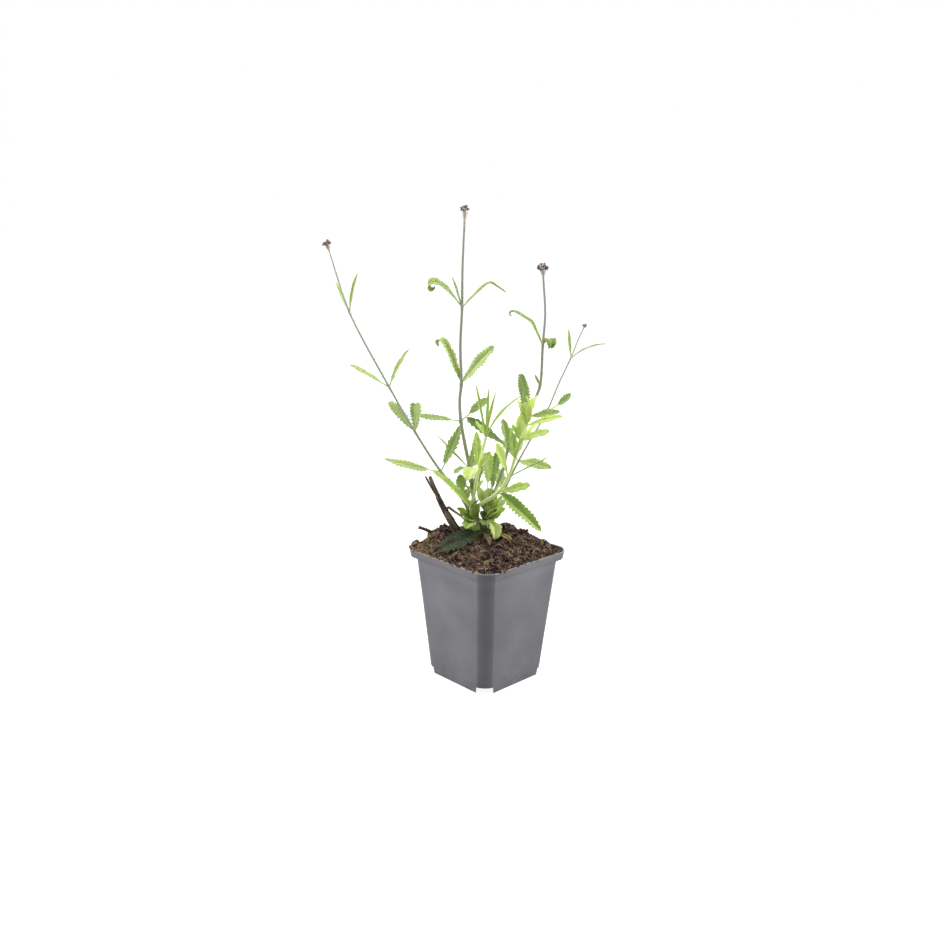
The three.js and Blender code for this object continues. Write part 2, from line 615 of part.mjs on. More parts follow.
group.add(mesh("pot", pot(), 0x6f6e74, 0.45));
const rooted = [...Object.values(SHOOTS), STUB, TWIG];
group.add(mesh("soil", soil().subtract(spun(stemHoles(rooted))), 0x4a3122, 0.95));
for (const [name, shoot] of Object.entries(SHOOTS)) {
  plant.add(mesh(name, union(shootSolids(shoot)), shoot.colour));
}
for (const [name, spec] of Object.entries(HEADS)) plant.add(mesh(name, head(spec), 0x5b4650, 0.85));
for (const [name, { colour, end, shape }] of Object.entries(DEAD_LEAVES)) {
  plant.add(mesh(name, leafSolid(vec(...end), shape), colour, 0.85));
}
plant.add(mesh("dead_stub", stub(), 0x4b3327, 0.9));
plant.add(mesh("dead_twig", twig(), 0x33241c, 0.9));

export default group;
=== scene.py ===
import math

import bpy
import numpy as np
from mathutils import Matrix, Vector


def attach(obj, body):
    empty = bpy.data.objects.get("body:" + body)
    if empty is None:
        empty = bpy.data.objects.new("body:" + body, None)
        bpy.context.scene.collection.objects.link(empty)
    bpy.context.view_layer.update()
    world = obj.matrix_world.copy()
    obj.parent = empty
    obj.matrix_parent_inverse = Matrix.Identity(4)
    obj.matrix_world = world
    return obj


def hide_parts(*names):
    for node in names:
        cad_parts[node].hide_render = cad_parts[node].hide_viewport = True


# The looks of a potted verbena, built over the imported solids. Sizes here are in mm: in the row's frame for
# the pot and, for all that grows or lies in it, in the plant's own frame, with x along the pot's diagonal, y
# away from the camera and z up. The plant's frame is turned by TURN about the pot's upright axis.

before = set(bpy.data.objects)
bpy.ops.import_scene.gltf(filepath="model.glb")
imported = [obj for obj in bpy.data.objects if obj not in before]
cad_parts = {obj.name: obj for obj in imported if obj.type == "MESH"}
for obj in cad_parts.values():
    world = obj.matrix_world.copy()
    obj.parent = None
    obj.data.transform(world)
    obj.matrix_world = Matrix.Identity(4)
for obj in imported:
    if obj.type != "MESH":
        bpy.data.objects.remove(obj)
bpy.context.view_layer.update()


def spin(angle):
    """The matrix that turns points, as rows, about the upright axis by an angle in radians."""
    c, s = math.cos(angle), math.sin(angle)
    return np.array([[c, s, 0], [-s, c, 0], [0, 0, 1]])


MM = 0.001
TURN = math.radians(45)
TO_ROW, TO_PLANT = spin(TURN), spin(-TURN)
CHANCE = np.random.default_rng(2406)

# ------------------------------------------------------------------------------- driving dimensions

POT_HEIGHT = 100
RIM_SIDE, RIM_CORNER = 90, 12
RIM_DROP, RIM_LEAN = 6.2, 1.6  # the collar's height, and how much narrower it is at its foot
RIM_FOOT = POT_HEIGHT - RIM_DROP
BODY_SIDE, BODY_CORNER = 81.6, 11
FOOT_SIDE, FOOT_CORNER = 65, 9.1
WALL, LIP = 1.0, 1.3
LIP_OUTER, LIP_INNER = 0.55, 0.4  # radii of the lip's rounded edges
CORNERS = ((1, 1), (-1, 1), (-1, -1), (1, -1))
NOTCH, NOTCH_BLOCK = 4.9, 20  # height of the cut-out at each bottom corner, and the reach of what cuts it
DRAIN_RADIUS, DRAIN_INSET = 3.2, 1
BOW_LEAST, BOW_SHARE = 3.4, 0.26  # half the width of each corner's bow: a least one, and by its radius
BOW_TURN = math.radians(25)  # half the turn of that bow
SWAY = 0.32  # how far the thin wall sways in and out at the lip

SOIL_GAP = 0.3
SOIL_EDGE, SOIL_BACK = 98.4, 2.2  # height where it meets the wall at the front, and the rise to the back
SOIL_MOUND, SOIL_ACROSS = 8.5, 43.4  # height of its mound, and half the mound's width
SOIL_HEAPS = [(-34, 17, 5.5, 14), (15, 22, 4.5, 9), (28, 19, 2, 7)]  # x, y, height and width of each
SOIL_LUMPS = 1.2  # height of its broad lumps
SOIL_RELIEF = [(3.4, 2, 0.75), (1.6, 3, 0.5), (0.8, 4, 0.28)]  # size, seed and height of its finer ones
SOIL_ARC, SOIL_STRAIGHT = 9, 40  # steps in each corner and each side of its outline
PLUM_HEAPS = [(-29, 16, 19, 1.0), (27, 16, 14, 1.0), (8, -30, 16, 0.7)]  # x, y, reach and share of plum peat
PLUM_BARE = 0.75  # share of a plum heap's reach within which no fibre starts
SPILL_ROUND = np.radians([105, 265])  # the part of the left corner's lip that peat has spilled on
CLUMPS_MIDDLE, CLUMPS_SPREAD = np.array([-36, 11]), 4.5  # where clumps lie on the heap at the far left
FIBRES, FIBRE_STEPS = 1100, 9

LEAF_THICK = 0.42
LEAF_TIP = 0.16  # half the width of its tip
STALK, STALK_SHARE = 0.9, 0.14  # least width of a leaf's stalk, and that width as a share of the blade's
KINK = 0.07  # share of the length over which half a kink is spread
TOOTH = 0.2  # share of the half width by which teeth stand out, and the notches go in
TOOTH_TIP = 0.8  # place of a tooth's point along its own share of the edge
TOOTHED = (0.08, 0.95)  # shares of the blade's length between which it has teeth
RIB = 0.36  # how far the midrib stands out of the underside
VEIN = 0.34  # half the width of a vein
PUFF, VEIN_SUNK, RIB_SUNK = 0.16, 0.1, 0.12  # how far the upper side rises between veins, and they sink
WAVE, DOME, SIDE_BEND = 0.05, 0.06, 0.03  # shares of the width, of the half width and of the length
FULL_WAVE = 6.28  # radians in one wave of the edge
TONE_SPREAD = 0.16  # how much leaves of one tone differ
# Columns of points across a blade, from its midrib to its edge, as shares of its half width.
COLUMNS = np.array([0, 0.07, 0.2, 0.38, 0.56, 0.74, 0.9, 1.0])

STEM_STEPS, STEM_SIDES = 16, 16
STEM_JOINT, JOINT_REACH = 0.28, 1.7  # how much thicker a stem is at a joint, and how far that goes
STEM_CLIMB = 250  # height above the pot in which a stem goes from its lower to its upper colour
# Hairs: their least and most length, and their thickness.
STEM_HAIR, LEAF_HAIR, NECK_HAIR = (0.35, 0.9, 0.045), (0.25, 0.6, 0.035), (0.3, 0.7, 0.04)
HAIRS_PER_ROW, HAIRS_PER_MM = 4, 4  # on a stem, and on a leaf
HAIRY_WIDTH = 8  # a narrower leaf has fewer hairs

# Each head: the length of its pale neck, its radius and its number of bud clusters.
HEADS = {"left": (4.5, 3.2, 8), "tall": (8.5, 3.5, 8), "right": (6, 4, 9), "far": (1, 1.9, 5)}
HEAD_GAP, HEAD_LIFT, HEAD_REACH, HEAD_SPREAD = 0.3, 0.3, 0.64, 1.25
NECK_SUNK, NECK_SIDES = 0.6, 12  # how far the neck starts inside the stem
BUD_LEAST, BUD = 0.35, 0.27  # a bud's size: a least one, and a share of the head's radius
BRANCHLET = 0.096  # thickness of a bud's branchlet as a share of the head's radius
CALYX = [(0, 0.2), (0.25, 0.42), (0.6, 0.5), (0.95, 0.42), (1.1, 0.36), (1.0, 0.24), (1.12, 0.14)]
CALYX_POINTED = [0, 0, 0, 1, 1, 0, 0]  # the rings of that profile of heights and radii that have five points
GOLDEN = math.radians(137.5)


# ------------------------------------------------------------------------------- the shoots
# A stem is the points of its line, from its foot to its tip, and its half thickness at both.
# A leaf springs from the stem point `at`, points to the compass `to` (0 along x, 90 along y), and climbs at
# `rise` degrees on average. `teeth` stand on each edge with a second set between them, and `tone` makes it
# paler or darker, partly as its own colour and partly as painted light and shade set leaf by leaf. It bends
# over by `droop` evenly, by `curl` past the share `curl_from` of its length and by `kink` at the share
# `kink_at`. Each half is tilted up by `fold`, `roll` turns it about its own line, `neck` is the share of its
# length that is only a stalk, `swell` above 1 moves its widest place towards the tip, `full` under 1 makes it
# blunter than a sine's half wave, and `split` makes its right half paler than its left, as painted light on
# that half and painted shade on the other.

PLAIN_LEAF = dict(droop=0, curl=0, curl_from=0.6, kink=0, kink_at=0.5, fold=14, roll=0, neck=0.05, swell=1.1,
                  full=0.65, split=0.0)


def leaf(at, to, rise, long, wide, teeth=0, tone=0.0, **more):
    return {**PLAIN_LEAF, "at": at, "to": to, "rise": rise, "long": long, "wide": wide, "teeth": teeth,
            "tone": tone, **more}


SHOOTS = {
    "shoot_left": {
        "stem": [
            (-12, 5, 97), (-12, 5, 110), (-13, 5, 120), (-17, 4, 134), (-25, 2, 147), (-35, 0, 159),
            (-53.5, -4, 189), (-72, -8, 223), (-99, -12, 276), (-107, -12, 300), (-112, -12, 317),
        ],
        "half": [1.3, 0.55],
        "leaves": [
            leaf(2, 205, 48, 11, 8, 1, droop=15, roll=-35),
            leaf(3, 118, 65, 22, 8.5, 3, -0.2, droop=-15, neck=0.4, roll=-20),
            leaf(5, 208, 20.5, 50, 6.8, 5, 0.7, droop=-16, neck=0.22, roll=-50, swell=0.8),
            leaf(5, 62, 47, 42, 9, 4, -0.8, droop=-14, neck=0.16, swell=0.9),
            leaf(6, 138, 33, 37, 7.6, 5, -0.7, droop=8, curl=30, roll=-36, swell=1.3, full=0.5),
            leaf(6, 276, 48, 38, 10, 5, -0.4, droop=10, curl=25, fold=36, swell=1.3, full=0.5, split=-0.6),
            leaf(7, 217, 30, 36, 5.2, 4, -0.1, neck=0.2, droop=4, roll=-40),
            leaf(7, 57, 49, 34, 3.8, 2, -0.1, droop=24),
            leaf(8, 143, 57, 25, 3, 0, 0.1, droop=-8),
            leaf(8, 306, 66, 31, 2.7, 0, 0.1, droop=30),
        ],
    },
    "shoot_tall": {
        "stem": [
            (-7, 12, 97), (-7, 12, 110), (-8, 12, 121), (-11, 13, 138), (-14, 14, 158), (-21, 16, 194),
            (-22, 17, 210), (-21, 18, 222), (-22, 20, 250), (-21, 21, 278), (-21, 22, 304), (-20, 24, 337),
        ],
        "half": [1.6, 0.85],
        "leaves": [
            leaf(2, 130, 30, 22, 9, 3, droop=30),
            leaf(3, 200, 72, 20, 8, 2, -0.1, droop=10, roll=-20),
            leaf(3, 20, 70, 23, 10.5, 2, droop=10, roll=10),
            leaf(3, 325, 60, 14, 9.5, 1, droop=10),
            leaf(4, 147, 36, 37, 3, 0, -0.3, droop=-6),
            leaf(4, 215, -8, 14, 8, 1, -0.4, droop=60, neck=0.1),
            leaf(4, 45, 25, 24, 9, 3, droop=10),
            leaf(4, 37, 75, 28, 5.5, 2, -0.4),
            leaf(5, 208, 15, 37, 5.6, 4, -0.3, droop=-6, neck=0.2, roll=-45, swell=1.2, full=0.5),
            leaf(5, 42, 26, 32, 8, 3, -0.6, droop=8, neck=0.3, roll=25),
            leaf(7, 155, 60, 45, 7.5, 5, 0.1, droop=15, curl=180, curl_from=0.64, fold=30, roll=-24,
                 full=0.5),
            leaf(7, 322, 44, 41, 10.5, 6, droop=8, roll=66, swell=1.4, full=0.38, split=0.25),
            leaf(9, 216, 34, 39, 9.5, 4, -0.1, droop=34, curl=270, fold=20, roll=-42, swell=1.9),
            leaf(9, 24, 37, 44, 3.4, 0, -0.1, droop=14, kink=62, kink_at=0.65, fold=35, full=0.5),
            leaf(9, 200, 70, 23, 4),
        ],
    },
    "shoot_right": {
        "stem": [
            (-1, 9, 97), (-1, 9, 110), (0, 10, 121), (4, 12, 136), (11, 13, 158), (15, 12, 175),
            (28, 11, 199), (33, 10, 211), (37, 9, 223), (38, 6, 253), (39, 5, 275), (37, 4, 300),
        ],
        "half": [1.45, 0.8],
        "leaves": [
            leaf(2, 85, 45, 26, 11, 3, droop=30),
            leaf(2, 60, 60, 22, 11.5, 1, droop=10),
            leaf(3, 95, 72, 26, 5.5, 2, neck=0.3),
            leaf(5, 152, 29, 41, 9, 4, -0.7, roll=-35, swell=1.7),
            leaf(5, 243, 64, 27, 7.5, 2, 0.4, droop=12),
            leaf(5, 300, 40, 12, 6, 1, -1.0, droop=10),
            leaf(5, 84, 38, 20, 6.5, 2),
            leaf(6, 255, 59, 41, 8.2, 7, -0.5, fold=20, droop=6, full=0.38, split=-0.2),
            leaf(6, 2, 8, 25, 8.5, 4, neck=0.15, roll=32),
            leaf(9, 150, 55, 41, 4.2, 0, -0.1, droop=12, curl=170, curl_from=0.8, kink=28, kink_at=0.48,
                 fold=30, full=0.5),
            leaf(9, 295, 16, 21, 8.5, 3, -0.3, droop=60, curl=190, curl_from=0.35),
            leaf(8, 240, 45, 13, 2.4, droop=-10),
        ],
    },
    "shoot_far": {
        "stem": [
            (4, 16, 97), (4, 16, 112), (6, 17, 122), (12, 21, 138), (23, 24, 162), (31, 26, 177),
            (44, 30, 200), (52, 33, 220), (61, 36, 240), (66, 38, 253), (70, 39, 262),
        ],
        "half": [1.0, 0.45],
        "leaves": [
            leaf(2, 60, 25, 18, 7, 2, droop=40),
            leaf(3, 110, 40, 26, 10, 2, droop=20),
            leaf(4, 318, -12, 28, 8.5, 4, 0.3, droop=36, neck=0, roll=44, swell=1.2),
            leaf(4, 130, 30, 26, 7, 2),
            leaf(6, 345, 47, 26, 7, 3, -0.3, droop=-34, neck=0.36, roll=52, swell=1.2),
            leaf(8, 96, 59, 24, 2.4, 0, 0.2, droop=-8),
            leaf(8, 324, 25, 31, 2.6, 0, 0.2, droop=34, roll=20),
        ],
    },
    "shoot_young": {
        "stem": [
            (-10, -3, 97), (-10, -3, 109), (-11, -3, 120), (-12, -3, 132), (-10, -4, 144), (-7, -6, 162),
            (-5, -8, 174), (-2, -10, 188),
        ],
        "half": [1.5, 0.95],
        "leaves": [
            leaf(2, 250, 0, 13, 11, 1, -0.6, droop=80),
            leaf(2, 300, 66, 19, 8, 3, -1.7),
            leaf(2, 185, 45, 17, 9, 3, -0.8, roll=-20),
            leaf(3, 203, 46, 43, 9.5, 5, -0.5, droop=6, neck=0, fold=25, roll=-35, swell=0.85, full=0.4),
            leaf(5, 96, 66, 29, 6.5, 3, -0.8),
            leaf(5, 240, -14, 19, 13, 3, -0.1, droop=105, neck=0.1),
            leaf(5, 300, 50, 18, 6, 2),
            leaf(7, 230, 72, 42, 2.8, 0, -0.8),
            leaf(7, 83, 66, 36, 2.4, 0, -0.8),
            leaf(7, 294, 72, 36, 2.4, 0, -0.8),
            leaf(7, 332, 48, 40, 3.8, 0, -0.7, droop=38, roll=45),
            leaf(7, 150, 50, 14, 5.5, 2, -0.4),
        ],
        "branch": {
            "stem": [
                (-12, -3, 131), (-2, -5, 138), (8, -7, 146), (15, -9, 158), (19, -10, 171), (23, -10, 185),
                (27, -11, 197), (30, -12, 207),
            ],
            "half": [1.3, 0.8],
            "leaves": [
                leaf(2, 322, 19, 30, 8, 2, -0.8, neck=0.12, roll=50, swell=1.3, full=0.45),
                leaf(2, 330, -37, 43, 11, 6, -1.3, droop=12, fold=26, roll=36, swell=0.85, full=0.55,
                     split=0.35),
                leaf(3, 208, 66, 28, 10, 4, roll=-60, swell=1.6),
                leaf(3, 335, 31, 36, 3.4, 0, -0.5),
                leaf(4, 300, 60, 22, 6, 2, -0.5),
                leaf(4, 100, 60, 22, 7, 3, -1.2),
                leaf(5, 316, 25, 30, 8, 2, -0.7, droop=6, roll=45, swell=1.3, full=0.5),
                leaf(5, 140, 55, 14, 6, 1, -0.8),
                leaf(5, 75, 72, 20, 8.5, 1, -0.25, full=0.5),
                leaf(5, 30, 40, 22, 6, 2),
                leaf(6, 342, 18, 28, 6, 3, -0.2, droop=8, roll=40, swell=1.3),
                leaf(6, 215, 66, 22, 6.5, 3, roll=-50),
                leaf(6, 262, 66, 20, 9, 2, full=0.5),
                leaf(7, 0, 72, 13, 6, 1),
                leaf(7, 80, 60, 11, 5, 1),
                leaf(7, 200, 72, 13, 4.5),
            ],
        },
    },
    "shoot_low": {
        "stem": [
            (-1, 1, 97), (-1, 1, 110), (-1, 1, 119), (0, 2, 126),
        ],
        "half": [1.6, 1.2],
        "leaves": [
            leaf(2, 310, -30, 21, 11, 3, droop=135, fold=24, roll=-10, swell=1.3),
            leaf(2, 335, 40, 20, 11, 3, 0.3, droop=20, roll=45),
            leaf(2, 285, 66, 17, 8, 2),
            leaf(2, 308, 42, 20, 10, 3, 0.3, droop=30, roll=25),
            leaf(2, 350, 62, 26, 10, 3, 0.3, roll=30),
            leaf(2, 30, 30, 18, 8, 2, droop=30),
            leaf(2, 300, 52, 20, 9, 1, 0.2, droop=10, roll=20),
            leaf(2, 245, 58, 14, 7, 1, -1.1, droop=10),
            leaf(2, 268, 15, 16, 10, 1, -0.5, droop=80),
            leaf(2, 215, 35, 10, 7, 1, -1.7, droop=15),
            leaf(3, 100, 75, 18, 10.5, 1),
            leaf(3, 150, 66, 22, 10, 1, droop=10, roll=-15),
            leaf(3, 40, 82, 50, 8.5, 4, -0.7, neck=0.5, roll=10),
            leaf(3, 265, 84, 50, 7.5, 4, 0.4, neck=0.5),
            leaf(3, 345, 70, 30, 5, 2),
        ],
    },
}

# Small young leaves at the foot of the shoots, between their full-grown ones: what a leaf has up to its tone,
# and then its droop.
SPROUTS = {
    "shoot_young": [
        (2, 215, 32, 12, 6, 1, -0.9, 20), (2, 268, 30, 10, 6, 1, -0.6, 30), (1, 300, 58, 13, 6, 1, -1.0, 10),
        (1, 200, 60, 12, 5, 0, -1.2, 10), (3, 168, 42, 12, 5, 1, -0.7, 0), (3, 318, 48, 11, 5, 0, -0.8, 0),
        (4, 200, 45, 10, 4.5, 0, -0.5, 0), (4, 30, 50, 12, 5, 1, -0.7, 0),
    ],
    "shoot_low": [
        (1, 248, 50, 14, 7, 1, -0.9, 30), (1, 208, 62, 13, 6, 1, -1.1, 0), (2, 232, 22, 9, 6, 1, -0.4, 30),
        (2, 280, 38, 11, 6, 0, -0.7, 20), (3, 212, 52, 12, 5.5, 1, -0.8, 0), (3, 320, 45, 13, 6, 1, -0.3, 0),
        (1, 320, 40, 13, 7, 1, -1.0, 30),
    ],
    "shoot_left": [
        (1, 205, 62, 14, 7, 1, -0.9, 10), (2, 152, 48, 12, 6, 1, -0.5, 0), (2, 250, 42, 12, 7, 1, -0.9, 20),
        (3, 200, 50, 10, 4, 0, -0.5, 0), (2, 292, 72, 17, 8, 2, -0.9, 0), (3, 190, 62, 15, 7, 2, -0.5, 0),
        (3, 285, 60, 15, 7, 2, 0, 15),
    ],
    "shoot_tall": [
        (2, 182, 62, 14, 7, 1, -0.9, 0), (2, 222, 68, 14, 6, 1, -0.6, 0), (3, 250, 50, 11, 5, 0, -0.6, 0),
        (3, 192, 48, 15, 8, 2, -0.5, 15), (3, 282, 66, 16, 7, 2, -0.3, 0), (4, 285, 60, 15, 6, 2, -0.4, 20),
    ],
    "shoot_right": [
        (2, 300, 45, 13, 7, 1, -0.9, 0), (2, 0, 50, 12, 6, 1, -0.8, 0), (3, 320, 40, 10, 5, 0, -0.6, 0),
    ],
}

STUB = {
    "stem": [(-20, -1, 97), (-20, -1, 107), (-26, -2, 119), (-33, -3, 132), (-38, -3, 143), (-43, -4, 156)],
    "half": [4.1, 1.15],
}
STUB_ARMS = [
    {"stem": [(-36, -3, 139), (-41, -5, 147), (-46, -8, 157)], "half": [1.2, 0.7]},
    {"stem": [(-31, -3, 129), (-29, -6, 133), (-25, -8, 131), (-18.5, -9.5, 127)], "half": [1.15, 0.8]},
]
TWIG = {
    "stem": [(-41, 13, 97), (-41, 13, 103), (-42, 12.5, 107), (-46, 10.5, 110), (-52, 8, 113)],
    "half": [1.5, 1.1],
}

# Leaves that have died: the end of the stalk, the leaf, how much it is crumpled, and its colours, which are
# dark, light, in patches and on veins.
DEAD_LEAVES = {
    "withered_leaf": (
        (-2.2, -4.0, 115.3), leaf(0, 208, -19.2, 39.5, 14.5, 5, droop=14, neck=0.08, fold=15, roll=-38), 0.25,
        [(0.020, 0.032, 0.014), (0.080, 0.108, 0.052), (0.026, 0.019, 0.011), (0.11, 0.14, 0.08)]),
    "dead_leaf_right": (
        (8, -2, 110.5), leaf(0, 330, -10, 12, 6, 2, droop=50, fold=30, curl=60, roll=15), 0.4,
        [(0.22, 0.16, 0.05), (0.48, 0.38, 0.15), (0.16, 0.09, 0.04), (0.60, 0.48, 0.25)]),
    "dead_leaf_front": (
        (-2.5, -6, 113), leaf(0, 295, -24, 13, 5, 2, droop=60, fold=30), 0.4,
        [(0.14, 0.11, 0.05), (0.36, 0.29, 0.14), (0.10, 0.06, 0.03), (0.48, 0.40, 0.22)]),
}


# ------------------------------------------------------------------------------- mesh kit

def unit(v):
    return v / np.linalg.norm(v, axis=-1, keepdims=True)


def circle(count):
    """The angles of `count` points all round."""
    return np.arange(count) / count * 2 * math.pi


def turned(v, axis, angle):
    """The direction v turned about a unit axis by an angle in radians."""
    c, s = math.cos(angle), math.sin(angle)
    return v * c + np.cross(axis, v) * s + axis * np.dot(axis, v) * (1 - c)


def smoothstep(x, low, high):
    t = np.clip((x - low) / (high - low), 0, 1)
    return t * t * (3 - 2 * t)


def noise(points, size, seed=0):
    """Smooth noise from -1 to 1 at each point, with lumps about `size` across."""
    p = np.asarray(points, float) / size + 31.7 * seed
    cell = np.floor(p).astype(np.int64)
    t = p - cell
    t = t * t * (3 - 2 * t)
    total = np.zeros(len(p))
    for corner in np.ndindex(2, 2, 2):
        x, y, z = (cell + corner).T
        mixed = (x * 73856093) ^ (y * 19349663) ^ (z * 83492791)
        mixed = (mixed ^ (mixed >> 13)) * 1274126177 & 0x7FFFFFFF
        weight = np.prod(np.where(corner, t, 1 - t), axis=1)
        total += weight * ((mixed & 0xFFFF) / 32767.5 - 1)
    return total


def grid_noise(grid, size, seed=0):
    """The noise at a grid of points, in rows and columns."""
    return noise(grid.reshape(-1, 3), size, seed).reshape(grid.shape[:2])


class Shape:
    """Points and faces that become one mesh, with marks that its material reads at each point."""

    MARKS = ("tone", "vein", "high", "under")

    def __init__(self):
        self.points, self.faces, self.marks, self.count = [], [], {m: [] for m in self.MARKS}, 0

    def add(self, points, faces, **marks):
        points = np.asarray(points, float).reshape(-1, 3)
        for row in faces:
            self.faces.extend((np.asarray(row) + self.count).tolist())
        for mark in self.MARKS:
            self.marks[mark].append(np.broadcast_to(np.ravel(marks.get(mark, 0.0)), len(points)))
        self.points.append(points)
        self.count += len(points)

    def skin(self, rings, **marks):
        """Joins rings of points, each going the same way round, into one closed solid with flat ends."""
        rows, count = rings.shape[:2]
        index = np.arange(rows * count).reshape(rows, count)
        after = np.roll(index, -1, axis=1)
        quads = np.stack([index[:-1], after[:-1], after[1:], index[1:]], axis=-1).reshape(-1, 4)
        first, last = rows * count, rows * count + 1
        start = np.stack([np.full(count, first), after[0], index[0]], axis=-1)
        end = np.stack([np.full(count, last), index[-1], after[-1]], axis=-1)
        points = np.vstack([rings.reshape(-1, 3), rings[0].mean(0), rings[-1].mean(0)])
        spread = {}
        for mark, value in marks.items():
            value = np.broadcast_to(value, (rows, count))
            spread[mark] = np.concatenate([value.ravel(), [value[0].mean(), value[-1].mean()]])
        self.add(points, [quads, start, end], **spread)

    def post(self, x, y, low, high):
        """An upright post over the outline x, y between two heights."""
        ring = np.stack([x, y, 0 * x], -1)
        self.skin(np.array([ring + [0, 0, low], ring + [0, 0, high]]))

    def plain(self, name, turn=np.eye(3)):
        """An object of the points and faces alone, turned into a frame."""
        mesh = bpy.data.meshes.new(name)
        mesh.from_pydata((np.vstack(self.points) * MM @ turn).tolist(), [], self.faces)
        made = bpy.data.objects.new(name, mesh)
        bpy.context.scene.collection.objects.link(made)
        return made

    def build(self, name, material, slot, replaces=()):
        """The finished piece, riding on the root and standing for the CAD nodes that it replaces."""
        piece = self.plain(name, TO_ROW)
        for mark, values in self.marks.items():
            layer = piece.data.attributes.new(mark, "FLOAT", "POINT")
            layer.data.foreach_set("value", np.concatenate(values).astype(np.float32))
        piece.data.shade_smooth()
        piece.data.materials.append(material)
        return dress(piece, replaces)


def dress(piece, replaces=()):
    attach(piece, "root")
    if replaces:
        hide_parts(*replaces)
    return piece


def smooth_line(spec, steps):
    """A stem's smooth line, `steps` to a stretch: its points, directions, shares and half thickness."""
    p = np.array(spec["stem"], float)
    p = np.vstack([2 * p[0] - p[1], p, 2 * p[-1] - p[-2]])
    gap = np.linalg.norm(np.diff(p, axis=0), axis=1) ** 0.5
    stretches = len(p) - 3
    line, along = [], []
    for k in range(stretches * steps + 1):
        i = min(k // steps, stretches - 1)
        w = k / steps - i
        a, b, c, d = p[i:i + 4]
        before, here, after = gap[i:i + 3]
        leave = here * ((b - a) / before - (c - a) / (before + here) + (c - b) / here)
        reach = here * ((c - b) / here - (d - b) / (here + after) + (d - c) / after)
        second = 3 * (c - b) - 2 * leave - reach
        third = 2 * (b - c) + leave + reach
        line.append(b + w * (leave + w * (second + w * third)))
        along.append(leave + w * (2 * second + 3 * w * third))
    share = np.linspace(0, 1, stretches * steps + 1)
    foot, tip = spec["half"]
    return np.array(line), unit(np.array(along)), share, foot + (tip - foot) * share


def tube(shape, line, along, radii, **marks):
    """A solid round a line: `radii` holds the distance out at each point of the line and each angle."""
    east = np.array([1.0, 0, 0])
    u = unit(east - along * (along @ east)[:, None])
    w = np.cross(along, u)
    angle = circle(radii.shape[1])
    out = u[:, None] * np.cos(angle)[None, :, None] + w[:, None] * np.sin(angle)[None, :, None]
    rings = line[:, None] + out * radii[..., None]
    shape.skin(rings, **marks)
    return rings, out


def spikes(shape, at, out, hair, rng=CHANCE):
    """Thin three-sided hairs that stand on the points `at` and lean along `out`."""
    least, most, thick = hair
    long = rng.uniform(least, most, len(at))
    out = unit(out)
    side = unit(np.cross(out, CHANCE.normal(size=out.shape)))
    other = np.cross(out, side)
    foot = at - out * 0.1  # a little inside what they stand on
    corners = [foot + thick * (side * math.cos(a) + other * math.sin(a)) for a in circle(3)]
    points = np.stack([*corners, at + out * long[:, None]], axis=1)
    base = np.arange(len(at))[:, None] * 4
    faces = [base + np.array([row]) for row in ((0, 1, 3), (1, 2, 3), (2, 0, 3), (2, 1, 0))]
    shape.add(points, faces)


# ------------------------------------------------------------------------------- stems and leaves

def stem(shape, hairs, spec):
    """A square stem with rounded corners, a groove down each flat, and swollen joints under its leaves."""
    line, along, _, half = smooth_line(spec, STEM_STEPS)
    angle = circle(STEM_SIDES)
    square = (np.abs(np.cos(angle)) ** 6 + np.abs(np.sin(angle)) ** 6) ** (-1 / 6)
    square *= 1 - 0.1 * np.abs(np.cos(2 * angle)) ** 3 * (np.cos(4 * angle) > 0.5)
    for joint in {leaf_spec["at"] for leaf_spec in spec["leaves"]}:
        away = np.linalg.norm(line - np.array(spec["stem"][joint]), axis=1)
        half = half * (1 + STEM_JOINT * np.exp(-(away / JOINT_REACH) ** 2))
    uneven = grid_noise(line[:, None] + angle[None, :, None], 1.3)
    radii = half[:, None] * square[None] * (1 + 0.03 * uneven)
    high = (line[:, 2] - POT_HEIGHT) / STEM_CLIMB
    rings, out = tube(shape, line, along, radii, high=high[:, None])
    count = len(line) * HAIRS_PER_ROW
    row = CHANCE.integers(STEM_STEPS, len(line) - 1, count)
    side = CHANCE.integers(0, STEM_SIDES, count)
    lean = out[row, side] + 0.35 * along[row] + 0.25 * CHANCE.normal(size=(count, 3))
    spikes(hairs, rings[row, side], lean, STEM_HAIR)


def half_width(s, spec):
    """Half the blade's width at the share s of its length: a narrow stalk, then a blade."""
    wide, neck = spec["wide"], spec["neck"]
    u = np.clip((s - neck) / (1 - neck), 0, 1) ** spec["swell"]
    stalk = max(STALK, STALK_SHARE * wide) * (1 - s / 2)
    return np.maximum(LEAF_TIP, np.maximum(stalk, wide * np.sin(math.pi * u) ** spec["full"]) / 2)


def saw(q):
    """How far the edge stands out at the share q of a tooth, from -1 in the notch to 1 at its point."""
    rise = -1 + 2 * (q / TOOTH_TIP) ** 0.85
    fall = 1 - 2 * (q - TOOTH_TIP) / (1 - TOOTH_TIP)
    return np.where(q < TOOTH_TIP, rise, fall)


